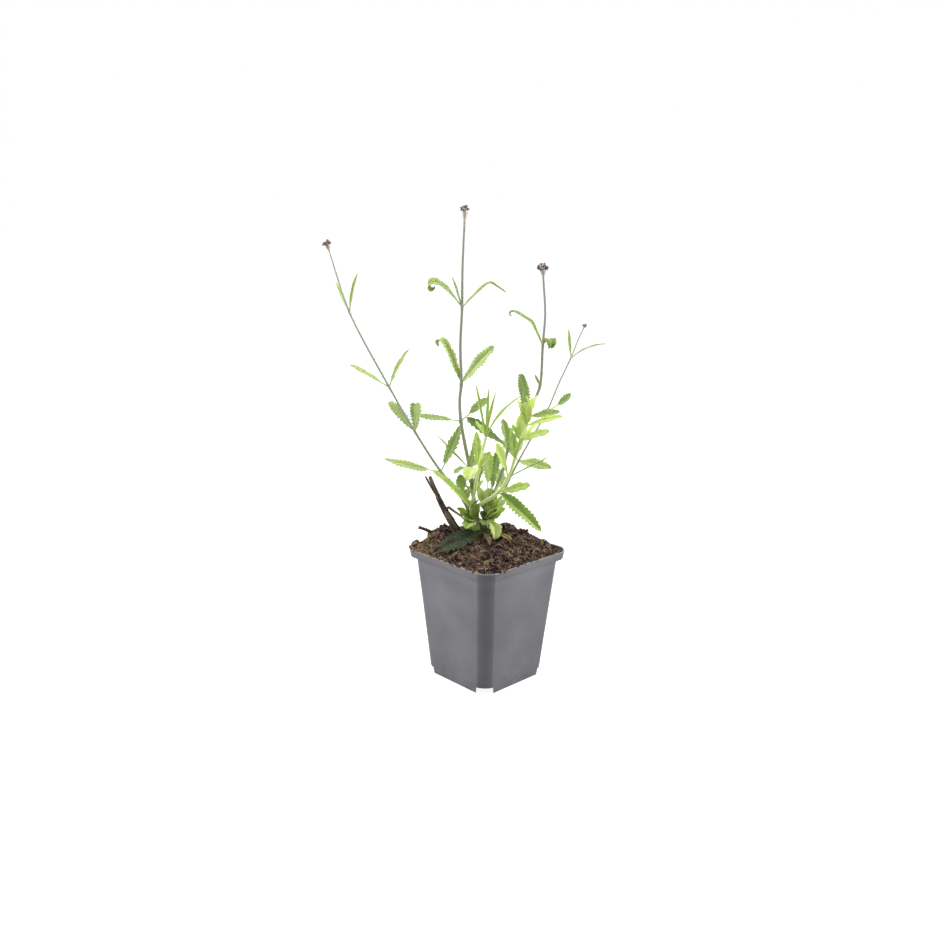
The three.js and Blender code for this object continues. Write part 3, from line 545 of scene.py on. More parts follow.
def midrib_line(root, spec, rows, rng, shake):
    """The midrib's points at the shares `rows`, and the directions along it, to its side and up."""
    to, rise = math.radians(spec["to"]), math.radians(spec["rise"] + spec["droop"] / 2)
    level = np.array([math.cos(to), math.sin(to), 0])
    side = np.cross(level, [0, 0, 1.0])
    along = turned(level, side, rise)
    side = turned(side, along, math.radians(spec["roll"]))
    up = np.cross(side, along)
    at = np.array(root, float)
    places = [(at, along, side, up)]
    past = 1 - spec["curl_from"]
    for s, row in zip(rows, rows[1:]):
        ds = row - s
        ramp = max(0.0, s + ds / 2 - spec["curl_from"]) / past
        bend = (spec["droop"] + spec["curl"] * 2 * ramp / past) * ds
        kinked = smoothstep(np.array([s, row]), spec["kink_at"] - KINK, spec["kink_at"] + KINK)
        bend += spec["kink"] * (kinked[1] - kinked[0])
        bend = math.radians(bend + rng.normal() * 4 * shake)
        along, up = turned(along, side, -bend), turned(up, side, -bend)
        at = at + along * spec["long"] * ds
        places.append((at, along, side, up))
    return (np.array(v)[:, None] for v in zip(*places))


def both_sides(top, low):
    """Values on the upper side of a blade and then, going back, on its underside."""
    return np.concatenate([top, low[:, ::-1]], axis=1)


def blade(shape, hairs, root, spec, crumple=0.0):
    """A toothed leaf with a midrib, sunk veins and wavy edges, as one closed solid, and its hairs."""
    teeth, long, wide = spec["teeth"], spec["long"], spec["wide"]
    start = max(spec["neck"], TOOTHED[0])
    pitch = (TOOTHED[1] - start) / max(teeth, 1)
    per_tooth = 10 if teeth else max(8, int(pitch * long / 0.8))
    stalk_rows = np.linspace(0, start, 3 + int(start * long / 1.5), endpoint=False)
    tooth_rows = np.linspace(start, TOOTHED[1], max(teeth, 1) * per_tooth, endpoint=False)
    rows = np.concatenate([stalk_rows, tooth_rows, [TOOTHED[1], 0.975, 1]])
    # Its own chance, so that a leaf that is changed changes no other.
    rng = np.random.default_rng(int(spec["to"] * 7 + spec["rise"] * 13 + long * 17 + wide * 29 + 9999))
    at, along, side, up = midrib_line(root, spec, rows, rng, crumple)

    a = np.concatenate([-COLUMNS[:0:-1], COLUMNS])[None]  # columns from edge to edge
    sign, out = np.sign(a), np.abs(a)
    s = rows[:, None]
    half = half_width(s, spec)
    broad = smoothstep(half / (wide / 2), 0.25, 0.7)

    # Two teeth for each of the solid's, none alike.
    edge = np.zeros_like(s * a)
    if teeth:
        q = 2 * (s - start) / pitch
        number = np.clip(np.floor(q), 0, 2 * teeth - 1).astype(int)
        size = rng.uniform(0.6, 1.3, (2, 2 * teeth))
        size = np.where(sign < 0, size[0][number], size[1][number])
        inside = (s >= start) & (s < TOOTHED[1])
        deep = TOOTH * min(1, max(0.5, long / 36))
        edge = np.where(inside, deep * size * saw(np.mod(q, 1)), 0) * smoothstep(out, 0.45, 1.0)

    # Veins run from the midrib forward to the points of the teeth.
    veins = 2 * teeth if teeth else max(3, int(long * (1 - start) / 5))
    vein_pitch = (TOOTHED[1] - start) / veins
    run = 0.85 * half / long
    phase = (s + run * (1 - out) - start) / vein_pitch - TOOTH_TIP
    away = np.abs(phase - np.round(phase)) * vein_pitch * long * 0.75
    vein = np.exp(-(away / VEIN) ** 2) * (s > start * 0.9) * (1 - 0.5 * out ** 3)
    vein = np.clip(vein, 0, 1) * smoothstep(np.float64(wide), 4, 8)
    midrib = np.exp(-(out * half / (0.3 + 0.03 * wide)) ** 2)

    fold = math.radians(spec["fold"])
    across = a * half * math.cos(fold) * (1 + edge)
    cycles, shift = rng.uniform(1.6, 3.2, 2), rng.uniform(0, FULL_WAVE, 2)
    waves = [np.sin(s * cycles[k] * FULL_WAVE + shift[k]) for k in range(2)]
    lift = out * half * math.sin(fold) + WAVE * wide * np.where(sign < 0, *waves) * out ** 1.6 * broad
    lift += DOME * half * np.sin(math.pi * out)
    puff = PUFF * (1 - vein) * np.sin(math.pi * np.clip(out, 0.05, 1)) - VEIN_SUNK * vein
    relief = broad * min(1.0, wide / 8) * puff - RIB_SUNK * midrib
    thick = LEAF_THICK * (1 - 0.55 * out ** 2)
    rib = RIB * midrib * (1 - 0.6 * s)
    middle = at + side * (rng.normal() * SIDE_BEND * long * s ** 2)[..., None]
    top = middle + side * across[..., None] + up * (lift + relief + thick / 2)[..., None]
    low = middle + side * across[..., None] + up * (lift + 0.8 * relief - thick / 2 - rib)[..., None]
    if crumple:
        for surface in (top, low):
            shake = [grid_noise(surface, 3.1, 5 + k) + 0.5 * grid_noise(surface, 1.3, 9 + k)
                     for k in range(3)]
            surface += crumple * np.stack(shake, -1)
    # Painted light and shade: `split` makes one half of the blade paler and the other half darker.
    veined, painted_half_light = np.maximum(vein, midrib), spec["split"] * np.clip(a * 4, -1, 1)
    tone = spec["tone"] + both_sides(painted_half_light, painted_half_light) + rng.normal() * TONE_SPREAD
    under = both_sides(np.zeros_like(veined), np.ones_like(veined))
    shape.skin(both_sides(top, low), vein=both_sides(veined, veined), under=under, high=s, tone=tone)
    if hairs is None:
        return

    # Short hairs on the edges and the midrib's underside.
    count = int(long * HAIRS_PER_MM * min(1, wide / HAIRY_WIDTH))
    row = rng.integers(2, len(rows) - 1, count)
    column = rng.choice([0, a.shape[1] - 1, a.shape[1] // 2], count)
    outward = side[row, 0] * sign[0, column][:, None] - up[row, 0] * (sign[0, column] == 0)[:, None]
    outward = outward + 0.6 * along[row, 0] + 0.2 * rng.normal(size=(count, 3))
    spikes(hairs, low[row, column], outward, LEAF_HAIR, rng)


def grow(spec, stems, leaves, hairs):
    stem(stems, hairs, spec)
    for leaf_spec in spec["leaves"]:
        blade(leaves, hairs, spec["stem"][leaf_spec["at"]], leaf_spec)
    if "branch" in spec:
        grow(spec["branch"], stems, leaves, hairs)


# ------------------------------------------------------------------------------- flower heads

def calyx(shape, at, out, size, tone):
    """A small ribbed cup with five points and the dark nub of a dried flower in its mouth."""
    out = unit(out)
    side = unit(np.cross(out, [0.31, 0.87, -0.2]))
    other = np.cross(out, side)
    angle = circle(10)
    fives = np.cos(5 * angle)
    high, radius = np.array(CALYX).T[..., None]
    climb = high * size + 0.2 * size * fives * np.array(CALYX_POINTED)[:, None]
    ribs = radius * size * (1 + 0.14 * fives)
    rings = at + climb[..., None] * out + (ribs * np.cos(angle))[..., None] * side
    rings = rings + (ribs * np.sin(angle))[..., None] * other
    shape.skin(rings, high=high, tone=tone, vein=(0.5 + 0.5 * fives)[None])


def flower_head(side, buds_shape, neck_shape, hairs):
    """Clusters of dry buds on branchlets out of a pale neck that stands on the tip of its shoot."""
    neck, radius, buds = HEADS[side]
    spec = SHOOTS["shoot_" + side]
    below, tip = (np.array(p, float) for p in spec["stem"][-2:])
    along = unit(tip - below)
    u = unit(np.array([1.0, 0, 0]) - along * along[0])
    w = np.cross(along, u)
    stalk = spec["half"][1]
    rng = np.random.default_rng(int(radius * 100 + neck * 7))

    share = np.linspace(0, 1, 14)
    line = tip + np.outer(-NECK_SUNK + (HEAD_GAP + neck + NECK_SUNK) * share, along)
    flare = stalk * (0.98 + 0.3 * share) + (radius * 0.52 - stalk) * smoothstep(share, 0.3, 1.0)
    radii = flare[:, None] * (1 + 0.06 * np.cos(6 * circle(NECK_SIDES)))
    tube(neck_shape, line, np.repeat(along[None], len(line), axis=0), radii, high=share[:, None])

    middle = tip + along * (HEAD_GAP + neck + radius * HEAD_LIFT)
    reach = HEAD_REACH * radius
    for i in range(buds):
        cosine = 1 - HEAD_SPREAD * (i + 0.3) / buds
        turn = i * GOLDEN
        outward = along * cosine + (u * math.cos(turn) + w * math.sin(turn)) * math.sqrt(1 - cosine ** 2)
        place = middle + reach * outward
        bud = (BUD_LEAST + BUD * radius) * (1 + 0.12 * math.sin(5 * i))
        branch = np.array([middle - along * radius * 0.5, middle + outward * reach * 0.45, place])
        thin = np.full((3, 6), BRANCHLET * radius)
        tube(neck_shape, branch, unit(np.gradient(branch, axis=0)), thin, high=1.0)
        for _ in range(4):
            facing = unit(outward + 0.9 * rng.normal(size=3))
            if facing @ outward < -0.1:
                facing = -facing
            size, tone = bud * rng.uniform(0.7, 1.0), rng.normal() * 0.4
            calyx(buds_shape, place + facing * bud * 0.15, facing, size, tone)
        calyx(buds_shape, place - outward * bud * 0.8, outward - 0.4 * along, bud * 0.8, -0.6)
    count = int(30 * neck)
    at = line[rng.integers(3, len(line), count)]
    lean = unit(np.cross(along, rng.normal(size=(count, 3)))) + 0.4 * along
    spikes(hairs, at + unit(lean) * stalk, lean, NECK_HAIR, rng)


# ------------------------------------------------------------------------------- dead wood

def bark(shape, spec, steps, sides, seed):
    """A dead stem: grooved bark with knots, worn thin in places, and a splintered end."""
    line, along, share, half = smooth_line(spec, steps)
    angle = circle(sides)
    grid = np.broadcast_arrays(np.cos(angle)[None] * 4, np.sin(angle)[None] * 4, line[:, 2:] * 0.28)
    grid = np.stack(grid, -1)
    grooves, knots, grain, splinters = (
        grid_noise(grid, size, seed + k) for k, size in enumerate((0.9, 2.6, 0.4, 0.5)))
    radii = half[:, None] * (1 + 0.16 * grooves + 0.14 * knots + 0.06 * grain)
    radii[-3:] *= 1 + 0.25 * splinters[-3:]
    peeled = smoothstep(knots + 0.6 * grooves, 0.15, 0.6)
    tube(shape, line, along, radii, vein=peeled, tone=grooves, high=share[:, None])


# ------------------------------------------------------------------------------- soil

def wall_height(y):
    """Height at which the soil meets the pot's wall."""
    return SOIL_EDGE + SOIL_BACK * smoothstep(y, -10, 30)


def soil_height(x, y):
    """Height of the soil in the plant's frame: it rises to the back, and has a mound, heaps and lumps."""
    p, q = (x + y) / math.sqrt(2), (y - x) / math.sqrt(2)
    outward = (p ** 4 + q ** 4) ** 0.25 / SOIL_ACROSS
    height = wall_height(y) + SOIL_MOUND * np.maximum(0, 1 - outward ** 3)
    lumps = (np.sin(0.31 * x + 0.17 * y + 1) * np.sin(0.23 * y - 0.11 * x)
             + 0.6 * np.sin(0.53 * x - 0.41 * y + 2)
             + 0.45 * np.sin(0.7 * y + 0.37 * x) * np.sin(0.6 * x - 0.29 * y + 3))
    for a, b, high, wide in SOIL_HEAPS:
        height = height + high * np.exp(-((x - a) ** 2 + (y - b) ** 2) / wide ** 2)
    return height + SOIL_LUMPS * lumps


def body_at(z, inset=0.0):
    """Height, side and corner radius of the pot's wall at a height, `inset` mm inside its outer face."""
    t = z / RIM_FOOT
    side = FOOT_SIDE + (BODY_SIDE - FOOT_SIDE) * t
    corner = FOOT_CORNER + (BODY_CORNER - FOOT_CORNER) * t
    return z, side - 2 * inset, corner - inset


def rounded_square(z, side, corner, arc, straight, bowed=0.0):
    """A square with round corners at one height in the row's frame, as points going round it.

    `arc` and `straight` are the steps in each corner and each side, and `bowed` is the share by which the
    corners are drawn from their round to a shallow bow with an edge on both sides."""
    half = BOW_LEAST + BOW_SHARE * corner
    bow = half / math.sin(BOW_TURN)
    middle = math.sqrt(2) * corner - half - bow * math.cos(BOW_TURN)
    a = np.linspace(0, math.pi / 2, arc + 1)
    tilt = np.abs(a - math.pi / 4)
    reach = middle * np.cos(tilt) + np.sqrt(bow ** 2 - (middle * np.sin(tilt)) ** 2)
    reach = np.minimum(reach, corner / np.cos(math.pi / 4 - tilt))
    reach = corner + bowed * (reach - corner)
    c = side / 2 - corner
    t = np.arange(1, straight) / straight
    bend = np.stack([c + reach * np.cos(a), c + reach * np.sin(a)], -1)
    quarter = np.vstack([bend, np.stack([c - 2 * c * t, np.full(straight - 1, side / 2)], -1)])
    ring = np.vstack([quarter @ spin(k * math.pi / 2)[:2, :2] for k in range(4)])
    return np.column_stack([ring, np.full(len(ring), float(z))])


def soil_body(shape):
    inset = WALL + SOIL_GAP
    side, corner = RIM_SIDE - RIM_LEAN - 2 * (LIP + SOIL_GAP), RIM_CORNER - LIP - SOIL_GAP
    ledge = RIM_FOOT + WALL + SOIL_GAP
    levels = [body_at(NOTCH + WALL + 2 * SOIL_GAP, inset), body_at(ledge, inset), (ledge, side, corner)]
    rings = [rounded_square(*level, SOIL_ARC, SOIL_STRAIGHT) @ TO_PLANT for level in levels]
    rim = rounded_square(0, side, corner, SOIL_ARC, SOIL_STRAIGHT) @ TO_PLANT
    for share in np.concatenate([np.linspace(1, 0.95, 4), np.linspace(0.94, 0.015, 74)]):
        x, y = (rim * share)[:, :2].T
        height = soil_height(x, y) if share < 1 else wall_height(y)
        level = np.column_stack([x, y, 0 * x])
        rough = sum(high * noise(level, size, seed) for size, seed, high in SOIL_RELIEF)
        rings.append(np.column_stack([x, y, height + rough * (0.35 if share > 0.99 else 1)]))
    rings = np.array(rings)
    shape.skin(rings, tone=grid_noise(rings * [1, 1, 0.3], 6, 7), vein=grid_noise(rings, 1.2, 8))


def ball(level):
    """Corner points and faces of a round ball, as an icosahedron split `level` times."""
    g = (1 + 5 ** 0.5) / 2
    points = [(-1, g, 0), (1, g, 0), (-1, -g, 0), (1, -g, 0), (0, -1, g), (0, 1, g), (0, -1, -g), (0, 1, -g),
              (g, 0, -1), (g, 0, 1), (-g, 0, -1), (-g, 0, 1)]
    faces = [(0, 11, 5), (0, 5, 1), (0, 1, 7), (0, 7, 10), (0, 10, 11), (1, 5, 9), (5, 11, 4), (11, 10, 2),
             (10, 7, 6), (7, 1, 8), (3, 9, 4), (3, 4, 2), (3, 2, 6), (3, 6, 8), (3, 8, 9), (4, 9, 5),
             (2, 4, 11), (6, 2, 10), (8, 6, 7), (9, 8, 1)]
    for _ in range(level):
        middle, split = {}, []
        for face in faces:
            mids = []
            for a, b in zip(face, face[1:] + face[:1]):
                key = (min(a, b), max(a, b))
                if key not in middle:
                    middle[key] = len(points)
                    points.append(tuple((np.array(points[a]) + points[b]) / 2))
                mids.append(middle[key])
            a, b, c = face
            d, e, f = mids
            split += [(a, d, f), (b, e, d), (c, f, e), (d, e, f)]
        faces = split
    return unit(np.array(points, float)), np.array(faces)


# Places for lumps and fibres: each function gives x, y and the height there, in the plant's frame.

def scattered(count, inset=2.6):
    """Random places on the soil, `inset` mm inside the collar."""
    reach = RIM_SIDE / 2 - LIP - inset
    corner = reach - RIM_CORNER + 2
    found = np.empty((0, 2))
    while len(found) < count:
        p = CHANCE.uniform(-reach, reach, (count * 2, 2))
        past = np.maximum(np.abs(p) - corner, 0)
        found = np.vstack([found, p[np.hypot(*past.T) < reach - corner]])
    x, y = (found[:count] @ TO_PLANT[:2, :2]).T
    return x, y, soil_height(x, y)


def on_lip(count):
    """Random places along the front of the pot's lip."""
    along = CHANCE.uniform(-0.5, 0.5, count) * (RIM_SIDE - 2 * RIM_CORNER)
    across = RIM_SIDE / 2 - CHANCE.uniform(0.7, 2.8, count)
    left = CHANCE.random(count) < 0.5
    p = np.where(left[:, None], np.stack([along, -across], -1), np.stack([across, along], -1))
    return *(p @ TO_PLANT[:2, :2]).T, np.full(count, POT_HEIGHT - 0.5)


def on_corner(count):
    """Random places along the lip round the pot's left corner."""
    a = CHANCE.uniform(*SPILL_ROUND, count)
    out = RIM_CORNER - CHANCE.uniform(0.4, 2.6, count)
    x = -math.sqrt(2) * (RIM_SIDE / 2 - RIM_CORNER) + out * np.cos(a)
    return x, out * np.sin(a), POT_HEIGHT + CHANCE.uniform(-0.5, 0.3, count)


def on_heap(count):
    """Random places on the heap at the far left."""
    x, y = CLUMPS_MIDDLE[:, None] + CHANCE.normal(size=(2, count)) * CLUMPS_SPREAD
    return x, y, soil_height(x, y)


def crumbs(shape, count, least, most, level, seed, flat=0.75, drawn=1.0, places=scattered):
    """Lumps of peat, none alike: `least` to `most` mm in radius, `flat` in height, `drawn` out in length."""
    points, faces = ball(level)
    x, y, z = places(count)
    size = least + (most - least) * CHANCE.random(count) ** 3
    sunk = CHANCE.uniform(0.0, 0.7, count)
    stretch = CHANCE.uniform(0.65, 1.35, (count, 1, 3)) * [drawn, drawn ** -0.5, flat * drawn ** -0.5]
    turn = CHANCE.uniform(0, 2 * math.pi, count)[:, None]
    coarse = np.stack([noise(points * 1.3 + 7 * k, 1.0, seed) for k in range(count)])
    fine = np.stack([noise(points * 3 + 5 * k, 1.0, seed + 1) for k in range(count)])
    lumps = points * (1 + 0.42 * coarse + 0.2 * fine)[..., None] * stretch * size[:, None, None]
    px, py, pz = np.moveaxis(lumps, -1, 0)
    lumps = np.stack([np.cos(turn) * px - np.sin(turn) * py, np.sin(turn) * px + np.cos(turn) * py, pz], -1)
    lumps += np.stack([x, y, z + size * (0.5 - sunk)], -1)[:, None]
    tone = CHANCE.normal(size=count) * 0.5
    pale = CHANCE.random(count) * np.clip(1.5 - size / 2, 0.4, 1)  # few large lumps are pale
    all_faces = [faces + k * len(points) for k in range(count)]
    shape.add(lumps, all_faces, tone=np.repeat(tone, len(points)), vein=np.repeat(pale, len(points)))


def on_plum(x, y):
    """Whether a place lies on one of the two dark heaps at the back, where few fibres show."""
    return any(math.hypot(x - a, y - b) < PLUM_BARE * reach for a, b, reach, _ in PLUM_HEAPS[:2])


def fibres(shape):
    """Fine roots and coir fibres that lie curved over the soil."""
    for x, y, _ in zip(*scattered(FIBRES, 4.6)):
        long, thick = CHANCE.uniform(2.5, 12), CHANCE.uniform(0.12, 0.34)
        turn, bend = CHANCE.uniform(0, 2 * math.pi), CHANCE.normal() * 0.22
        heading = turn + bend * np.arange(FIBRE_STEPS) + 0.125 * CHANCE.normal(size=FIBRE_STEPS).cumsum()
        px = x + np.cumsum(np.cos(heading)) * long / FIBRE_STEPS
        py = y + np.cumsum(np.sin(heading)) * long / FIBRE_STEPS
        level = np.stack([px, py, 0 * px], -1)
        if np.abs(level @ TO_ROW).max() > RIM_SIDE / 2 - LIP - 2 or on_plum(x, y):
            continue
        hump = np.sin(np.linspace(0.1, 3.0, FIBRE_STEPS)) * CHANCE.uniform(0, 1.6)
        pz = soil_height(px, py) + 0.35 + hump + 0.5 * noise(level, 2.0, 4)
        line = np.stack([px, py, pz], -1)
        radii = np.full((FIBRE_STEPS, 4), thick) * np.linspace(1, 0.5, FIBRE_STEPS)[:, None]
        tube(shape, line, unit(np.gradient(line, axis=0)), radii, tone=CHANCE.normal() * 0.5)


# ------------------------------------------------------------------------------- pot

def loft(name, levels, bowed=0.0):
    """An object over outlines of the pot, each with its height, side and corner radius."""
    shape = Shape()
    shape.skin(np.array([rounded_square(*level, 24, 14, bowed) for level in levels]))
    return shape.plain(name)


def cut(piece, tool):
    """Cuts the tool out of the piece, and removes the tool."""
    change = piece.modifiers.new("cut", "BOOLEAN")
    change.operation, change.solver, change.object = "DIFFERENCE", "EXACT", tool
    bpy.context.view_layer.update()
    made = bpy.data.meshes.new_from_object(piece.evaluated_get(bpy.context.evaluated_depsgraph_get()))
    piece.modifiers.clear()
    old, piece.data = piece.data, made
    bpy.data.meshes.remove(old)
    bpy.data.objects.remove(tool)


def pockets(wider, top):
    """A post over each bottom corner, drawn out to a square corner outside the pot, where it is cut away."""
    c = FOOT_SIDE / 2 - FOOT_CORNER
    shape = Shape()
    for x, y in CORNERS:
        px, py = (FOOT_CORNER + wider) * np.cos(circle(64)), (FOOT_CORNER + wider) * np.sin(circle(64))
        outward = (px * x > 0) & (py * y > 0)
        px, py = np.where(outward, x * NOTCH_BLOCK, px), np.where(outward, y * NOTCH_BLOCK, py)
        shape.post(px + x * c, py + y * c, -1, top)
    return shape.plain("pockets")


def pot():
    rim, inner = RIM_SIDE - RIM_LEAN, RIM_CORNER - LIP
    outside = [body_at(z) for z in np.linspace(0, RIM_FOOT, 17)]
    outside += [(RIM_FOOT + 0.05, rim - 0.5, RIM_CORNER), (RIM_FOOT + 0.35, rim, RIM_CORNER)]
    outside += [(RIM_FOOT + h, RIM_SIDE - RIM_LEAN * (1 - h / RIM_DROP), RIM_CORNER) for h in (2, 3.6, 5.2)]
    for k in range(5):  # the lip's rounded outer edge
        a = math.radians(k * 22.5)
        side = RIM_SIDE - 2 * LIP_OUTER * (1 - math.cos(a))
        outside.append((POT_HEIGHT - LIP_OUTER + LIP_OUTER * math.sin(a), side, RIM_CORNER))
    body = loft("pot", outside, bowed=1.0)
    inside = loft("inside", [body_at(z, WALL) for z in (WALL, 20, 40, 60, 80, RIM_FOOT + 1)])
    cut(inside, pockets(WALL, NOTCH + WALL))
    cut(body, inside)
    collar = [(RIM_FOOT + WALL, rim - 2 * LIP, inner)]
    for k in range(4):  # and its inner edge
        a = math.radians(90 - k * 30)
        side = RIM_SIDE - 2 * LIP + 2 * LIP_INNER * (1 - math.sin(a))
        collar.append((POT_HEIGHT - LIP_INNER + LIP_INNER * math.cos(a), side, inner))
    collar.append((POT_HEIGHT + 1, RIM_SIDE - 2 * LIP + 2 * LIP_INNER, inner))
    cut(body, loft("collar", collar))
    cut(body, pockets(0, NOTCH))
    c = FOOT_SIDE / 2 - FOOT_CORNER - DRAIN_INSET
    for x, y in CORNERS:
        drain = Shape()
        px, py = DRAIN_RADIUS * np.cos(circle(40)), DRAIN_RADIUS * np.sin(circle(40))
        drain.post(px + x * c, py + y * c, -2, 12)
        cut(body, drain.plain("drain"))

    # The thin wall sways a little, most at the lip.
    mesh = body.data
    p = np.empty(len(mesh.vertices) * 3)
    mesh.vertices.foreach_get("co", p)
    p = p.reshape(-1, 3) / MM
    sway = np.stack([noise(p, 27, 3), noise(p, 27, 4), 0.5 * noise(p * [1, 1, 0.2], 13, 5)], -1)
    p = p + sway * smoothstep(p[:, 2], 40, 100)[:, None] * SWAY
    mesh.vertices.foreach_set("co", (p * MM).ravel())
    mesh.shade_smooth()
    mesh.set_sharp_from_angle(angle=math.radians(35))
    mesh.materials.clear()
    mesh.materials.append(pot_plastic())
    return dress(body, ["pot"])


# ------------------------------------------------------------------------------- materials

class Paint:
    """A material's nodes: most calls add one and give its output. `base` is the colour so far."""

    def __init__(self, name, roughness, specular):
        self.material = bpy.data.materials.new(name)
        self.material.use_nodes = True
        self.tree = self.material.node_tree
        self.surface = self.tree.nodes["Principled BSDF"]
        self.feed(self.surface, {"Roughness": roughness, "Specular IOR Level": specular})

    def feed(self, node, inputs):
        for name, value in inputs.items():
            socket = node.inputs[name]
            if isinstance(value, bpy.types.NodeSocket):
                self.tree.links.new(value, socket)
            else:
                socket.default_value = (*value, 1.0) if socket.type == "RGBA" else value

    def add(self, kind, inputs, output=0, **options):
        node = self.tree.nodes.new("ShaderNode" + kind)
        for option, value in options.items():
            setattr(node, option, value)
        self.feed(node, inputs)
        return node.outputs[output]

    def place(self, stretch=(1, 1, 1)):
        spot = self.add("TexCoord", {}, output=3)
        return spot if stretch == (1, 1, 1) else self.add("Mapping", {"Vector": spot, "Scale": stretch})

    def along(self, direction):
        """How far a place lies along a direction of the row's frame, in mm."""
        scaled = [v / MM for v in direction]
        return self.add("VectorMath", {0: self.place(), 1: scaled}, output=1, operation="DOT_PRODUCT")

    def away(self, x, y):
        """How far a place is from the upright line over x, y of the plant's frame, in mm."""
        spot = (np.array([x, y, 0.0]) @ TO_ROW).tolist()
        level = self.place((1 / MM, 1 / MM, 0))
        return self.add("VectorMath", {0: level, 1: spot}, output=1, operation="DISTANCE")

    def noise(self, size, detail=3, stretch=(1, 1, 1), roughness=0.55):
        """Noise from 0 to 1 with lumps about `size` mm across."""
        return self.add("TexNoise", {"Vector": self.place(stretch), "Scale": 1 / (size * MM),
                                     "Detail": detail, "Roughness": roughness})

    def mark(self, name):
        return self.add("Attribute", {}, output=2, attribute_name=name)

    def math(self, operation, a, b=0.0, clamp=False):
        return self.add("Math", {0: a, 1: b}, operation=operation, use_clamp=clamp)

    def times(self, first, *others):
        for other in others:
            first = self.math("MULTIPLY", first, other)
        return first

    def between(self, value, low, high, first=0.0, last=1.0):
        """`first` where the value is at `low`, `last` where it is at `high`."""
        return self.add("MapRange", {"Value": value, "From Min": low, "From Max": high, "To Min": first,
                                     "To Max": last})

    def mix(self, share, a, b):
        return self.add("Mix", {0: share, 6: a, 7: b}, output=2, data_type="RGBA")

    def coat(self, share, strength, colour):
        """Lays a colour over the base where the share is above 0."""
        self.base = self.mix(self.times(share, strength), self.base, colour)

    def glow(self, weight, radius, scale):
        """Lets light through, `scale` mm deep."""
        self.feed(self.surface, {"Subsurface Weight": weight, "Subsurface Radius": radius,
                                 "Subsurface Scale": scale * MM})

    def finish(self, relief=None, depth=0.0, strength=1.0):
        """The material in its base colour, its light bent as if it had relief `depth` mm deep."""
        self.feed(self.surface, {"Base Color": self.base})
        if relief is not None:
            bump = self.add("Bump", {"Height": relief, "Distance": depth * MM, "Strength": strength})
            self.feed(self.surface, {"Normal": bump})
        return self.material


def pot_plastic():
    """Grey plastic: cloudy, scuffed, dusty at the lip and the foot, with painted shade towards its corners
    and a band of painted light just under the collar.
    """
    p = Paint("pot_plastic", 0.5, 0.42)
    cloud, grain = p.noise(34, 2), p.noise(0.5, 2)
    p.base = p.mix(p.between(cloud, 0.35, 0.65), (0.188, 0.183, 0.203), (0.232, 0.227, 0.247))
    p.coat(p.between(p.noise(9, 6, (3.2, 3.2, 0.5), 0.7), 0.62, 0.8), 0.35, (0.27, 0.265, 0.28))
    near_x, near_y, height = (p.along(axis) for axis in np.eye(3))
    near_x, near_y = p.math("ABSOLUTE", near_x), p.math("ABSOLUTE", near_y)
    corner = p.math("DIVIDE", p.math("MINIMUM", near_x, near_y), p.math("MAXIMUM", near_x, near_y))
    # Painted shade: darker towards each rounded corner and most on its bow, where the corners turn away from
    # the side lamps.
    p.coat(p.between(corner, 0.25, 0.9), 0.5, (0.165, 0.160, 0.178))
    # Painted light: a paler band on the wall just under the collar, which lightens the shade that the collar
    # casts there.
    painted_light_rise, painted_light_stop = p.between(height, 84, 93.5), p.between(height, 94.1, 93.9)
    p.coat(p.times(painted_light_rise, painted_light_stop), 0.35, (0.36, 0.355, 0.375))
    dust = p.times(p.between(p.noise(3.5, 5), 0.46, 0.68), p.between(height, 92, POT_HEIGHT))
    p.coat(dust, 0.6, (0.24, 0.20, 0.17))
    dirt = p.times(p.between(height, 22, 0), p.between(p.noise(5, 5), 0.45, 0.7))
    p.coat(dirt, 0.4, (0.10, 0.09, 0.085))
    p.feed(p.surface, {"Roughness": p.between(cloud, 0.3, 0.7, 0.36, 0.5)})
    return p.finish(p.math("ADD", grain, p.times(p.noise(14, 3), 2.0)), 0.05, 0.35)


def peat():
    """Peat: dark clumps, reddish and tan patches, and a golden fibrous corner at the plant's far left."""
    p = Paint("peat", 0.92, 0.22)
    tone, grit = p.mark("tone"), p.mark("vein")
    fleck, clump = p.noise(0.9, 4), p.noise(3.2, 4)
    p.base = p.mix(p.between(clump, 0.36, 0.66), (0.010, 0.006, 0.005), (0.072, 0.041, 0.029))
    plum = p.mix(p.between(clump, 0.36, 0.66), (0.022, 0.007, 0.013), (0.095, 0.040, 0.050))
    across = p.along((math.cos(TURN), math.sin(TURN), 0))
    left = p.times(p.between(across, -8, -22), p.between(across, -46, -38))
    p.coat(p.math("ADD", p.between(p.noise(13, 2), 0.45, 0.6), left, clamp=True), 1, plum)
    p.coat(p.between(tone, 0.0, 0.9), 0.7, (0.185, 0.115, 0.068))
    right = p.math("ADD", p.times(p.between(across, 6, 22), 0.3), 0.55)
    p.coat(p.between(p.noise(2.4, 4, (0.45, 1, 1)), 0.52, 0.66), right, (0.38, 0.27, 0.15))
    p.coat(p.between(p.noise(7, 3), 0.50, 0.57), 0.88, (0.012, 0.007, 0.007))
    p.coat(p.between(fleck, 0.6, 0.72), 0.6, (0.42, 0.29, 0.18))
    p.coat(p.between(grit, 0.8, 0.95), 0.8, (0.40, 0.29, 0.17))
    p.coat(p.times(p.between(across, -30, -44), p.between(fleck, 0.4, 0.6)), 0.55, (0.36, 0.25, 0.12))
    heaps = 0.0
    for x, y, reach, share in PLUM_HEAPS:
        near = p.between(p.away(x, y), reach, reach * 0.45)
        heaps = p.math("ADD", heaps, p.times(near, share), clamp=True)
    dark = p.mix(p.between(fleck, 0.45, 0.7), (0.014, 0.006, 0.009), (0.105, 0.046, 0.056))
    p.coat(p.times(heaps, p.between(p.noise(5, 3), 0.36, 0.5)), 0.85, dark)
    return p.finish(p.math("ADD", fleck, p.noise(0.35, 3)), 0.3, 0.8)


